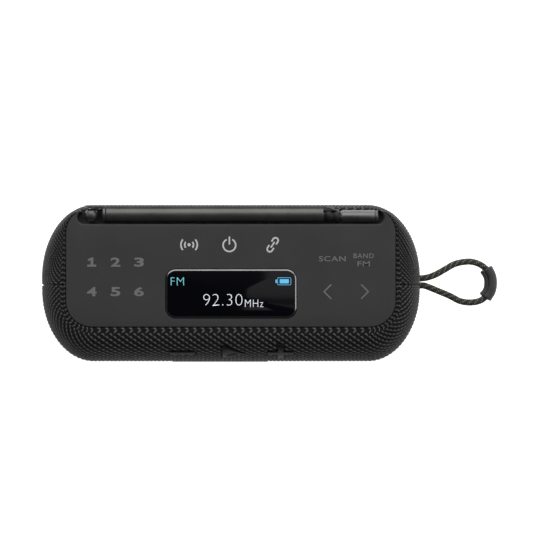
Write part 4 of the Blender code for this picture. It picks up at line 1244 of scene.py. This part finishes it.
def make_arm():
    """The hinge arm with its round heel behind the post and its collar at the sleeve."""
    x, _, z = PIVOT
    axis_start, axis = (x, 0, z), (0, 1, 0)
    inner, outer = ARM_Y
    heel = [(inner, 0), (inner, HEEL_RADIUS - 0.1), (outer - 0.5, HEEL_RADIUS)]
    heel += [(outer - drop, HEEL_RADIUS - inset) for inset, drop in edge_rounding(0.5, 4)[1:]]
    heel.append((outer, 0))
    section = rounded_rectangle(inner, outer, z - RIB_HALF, z + RIB_HALF, 0.45, 5)
    arm = loft([[(along, y, h) for y, h in section] for along in (x, COLLAR_X[0] + 0.5)])
    arm = united(arm, turned(heel, axis_start, axis), mast_block(*COLLAR_X, 0.35, 0.2))
    arm = cut(arm, rod(axis_start, axis, SCREW_RADIUS, ARM_Y[0] - 1, SCREW_END))
    solid_piece("mast_arm", arm, "antenna_satin", "antenna_mast",
                ("antenna_hinge_arm",))


def make_post():
    """The turning post: a ball with a flat behind it, on a stem."""
    x, y, z = PIVOT
    foot, upward, axis_start, axis = (x, y, 0), (0, 0, 1), (x, 0, z), (0, 1, 0)
    ball = [(-BALL_RADIUS * cos(a), BALL_RADIUS * sin(a)) for a in full_turn(64)[:33]]
    ball[0], ball[-1] = (-BALL_RADIUS, 0), (BALL_RADIUS, 0)
    post = united(turned(ball, PIVOT, upward),
                  rod(foot, upward, COLLAR_RADIUS, TROUGH_FLOOR + CLEARANCE, z - 2),
                  rod(foot, upward, STEM_RADIUS, STEM_BOTTOM, z - 2.5))
    behind = [(x - 6, BALL_FLAT_Y), (x + 6, BALL_FLAT_Y), (x + 6, TROUGH_BACK), (x - 6, TROUGH_BACK)]
    post = cut(post, prism(behind, z - 6, z + 6), rod(axis_start, axis, SCREW_RADIUS, *SCREW_Y),
               rod(axis_start, axis, SCREW_HEAD, SCREW_Y[0], SCREW_SEAT))
    solid_piece("antenna_ball", post, "antenna_satin", "antenna_swivel_body",
                ("antenna_post",), bevel=0.12)


def make_tip():
    """The rod's end: a bright barrel with a dark cap, on the thin inner rod."""
    start, end = TIP_X
    centre, axis = (0, ROD_Y, PIVOT[2]), (1, 0, 0)
    split = end - TIP_CAP
    barrel = [
        (start, ROD_RADIUS), (start, TIP_RADIUS - 0.75), (start + 0.1, TIP_RADIUS - 0.7),
        (start + 0.4, TIP_RADIUS - 0.4), (start + 1.0, TIP_RADIUS - 0.05), (start + 1.5, TIP_RADIUS),
        (split - 0.3, TIP_RADIUS), (split - 0.1, TIP_RADIUS - 0.08), (split, TIP_RADIUS - 0.3),
        (split, ROD_RADIUS),
    ]
    solid_piece("tip_barrel", turned(barrel, centre, axis, 72, closed=True), "tip_metal",
                "antenna_tip", ("antenna_tip",))
    cap = [(split + 0.05, 0), (split + 0.05, TIP_RADIUS - 0.4), (split + 0.3, TIP_RADIUS - 0.2)]
    cap += [(end - 0.9 + 0.9 * sin(a), TIP_RADIUS - 1.1 + 0.9 * cos(a)) for a in quarter_turn(6)]
    cap.append((end, 0))
    solid_piece("tip_cap", turned(cap, centre, axis, 72), "antenna_satin", "antenna_tip")
    thin = rod(centre, axis, ROD_RADIUS, ROD_START, start + 0.5, 32)
    solid_piece("tip_rod", thin, "section_steel", "antenna_tip")


def make_sections():
    end = SECTION_END
    for name, (outer, inner, start) in SECTIONS.items():
        profile = [(start, inner), (start, outer), (end - 0.5, outer), (end - 0.15, outer - 0.1),
                   (end, outer - 0.3), (end, inner)]
        tube = turned(profile, (0, ROD_Y, PIVOT[2]), (1, 0, 0), 48, closed=True)
        solid_piece(f"{name}_tube", tube, "section_steel", name, (name,))


# ---- strap ----
def smooth_route(points, spacing):
    """Evenly spaced points on a Catmull-Rom curve through the route's points."""
    knots = np.array(points, float)
    knots = np.concatenate([[2 * knots[0] - knots[1]], knots, [2 * knots[-1] - knots[-2]]])
    fine = []
    for a, b, c, d in zip(knots, knots[1:], knots[2:], knots[3:]):
        for t in np.linspace(0, 1, 24, endpoint=False):
            fine.append(0.5 * (2 * b + (c - a) * t + (2 * a - 5 * b + 4 * c - d) * t * t
                               + (3 * b - a - 3 * c + d) * t ** 3))
    fine = np.array(fine + [knots[-2]])
    length = np.concatenate([[0], np.cumsum(np.linalg.norm(np.diff(fine, axis=0), axis=1))])
    even = np.linspace(0, length[-1], round(length[-1] / spacing) + 1)
    return np.stack([np.interp(even, length, fine[:, k]) for k in range(3)], axis=1)


def tube_grid(path, radii, segments):
    """Rings of points round a path, whose radii may vary along it and round it."""
    along = np.gradient(path, axis=0)
    along /= np.linalg.norm(along, axis=1, keepdims=True)
    side = np.cross(along, (0, 0, 1))
    side /= np.linalg.norm(side, axis=1, keepdims=True)
    up = np.cross(side, along)
    angle = np.linspace(-pi, pi, segments, endpoint=False)
    angle = angle[None, :, None]
    ring = np.cos(angle) * side[:, None, :] + np.sin(angle) * up[:, None, :]
    return path[:, None, :] + ring * np.broadcast_to(radii, (len(path), segments))[..., None]


def make_cord():
    """A round braid whose strands cross each other both ways."""
    path = smooth_route(CORD_ROUTE, CORD_STEP)
    turn = np.arange(CORD_SEGMENTS)[None, :] / CORD_SEGMENTS
    run = np.arange(len(path))[:, None] * CORD_STEP / BRAID_PITCH
    ways = (turn + run) * BRAID_STRANDS, (turn - run) * BRAID_STRANDS
    one, two = (np.sin(pi * np.mod(way, 1.0)) ** BRAID_ROUNDNESS for way in ways)
    weave = one * two
    number = np.floor(ways[0]) + 2 * np.floor(ways[1])
    fleck = np.where(np.mod(number, 6) == 0, *FLECKS)
    grid = tube_grid(path, CORD_DIAMETER / 2 - BRAID_SINK + BRAID_HEIGHT * weave, CORD_SEGMENTS)
    # the marks paint shade where the strands dip between each other, and the flecks are strands of
    # lighter yarn
    mesh = grid_mesh("cord", grid, closed=True, marks=weave * fleck)
    return new_piece("cord", mesh, "cord_braid", "body", ("strap_cord",))


def make_grip():
    """A rubber sleeve on the cord, with a lip and a groove along its inner side."""
    first, last = GRIP_ROUTE_POINTS
    path = smooth_route(CORD_ROUTE[first:last + 1], GRIP_STEP)
    share = np.linspace(0, 1, len(path))
    to_end = np.minimum(share, 1 - share)
    ends = GRIP_FLARE * np.exp(-(to_end / 0.1) ** 2)
    ends -= GRIP_ROUND * (1 - np.sqrt(1 - (1 - np.clip(to_end / 0.035, 0, 1)) ** 2))
    side = np.cos(np.linspace(-pi, pi, GRIP_SEGMENTS, endpoint=False))
    section = GRIP_RADIUS + 0.2 * smoothstep(-side, -0.2, 0.8) + 0.1 * smoothstep(side, 0.6, 0.9)
    section -= GRIP_GROOVE * np.exp(-((side - 0.42) / 0.14) ** 2)
    outside = tube_grid(path, section + ends[:, None], GRIP_SEGMENTS)
    inside = tube_grid(path, GRIP_BORE, GRIP_SEGMENTS)[::-1]
    mesh = grid_mesh("grip", np.concatenate([outside, inside, outside[:1]]), closed=True)
    return new_piece("grip", mesh, "grip_rubber", "body", ("strap_grip",))


def make_strap():
    cord = make_cord()
    grip = make_grip()
    smooth_route(CORD_ROUTE, 1.5) * MM


# ---- carried-over CAD nodes ----
def dress_cad():
    for look, bevel, names in CAD_LOOKS:
        for name in names:
            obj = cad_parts[name]
            obj.data.materials.clear()
            obj.data.materials.append(finish(look))
            if bevel:
                weld = obj.modifiers.new("weld", "WELD")
                weld.merge_threshold = WELD_GAP
                round_edges(obj, bevel)


make_camera()
make_sky()
make_lights()
make_floor()
make_strap()
make_cover(FRONT, "front_fabric")
make_cover(REAR, "rear_fabric")
make_panel()
make_keys()
make_signs()
make_display()
make_buttons()
make_badge()
make_post()
make_mast()
make_arm()
make_sections()
make_tip()
dress_cad()
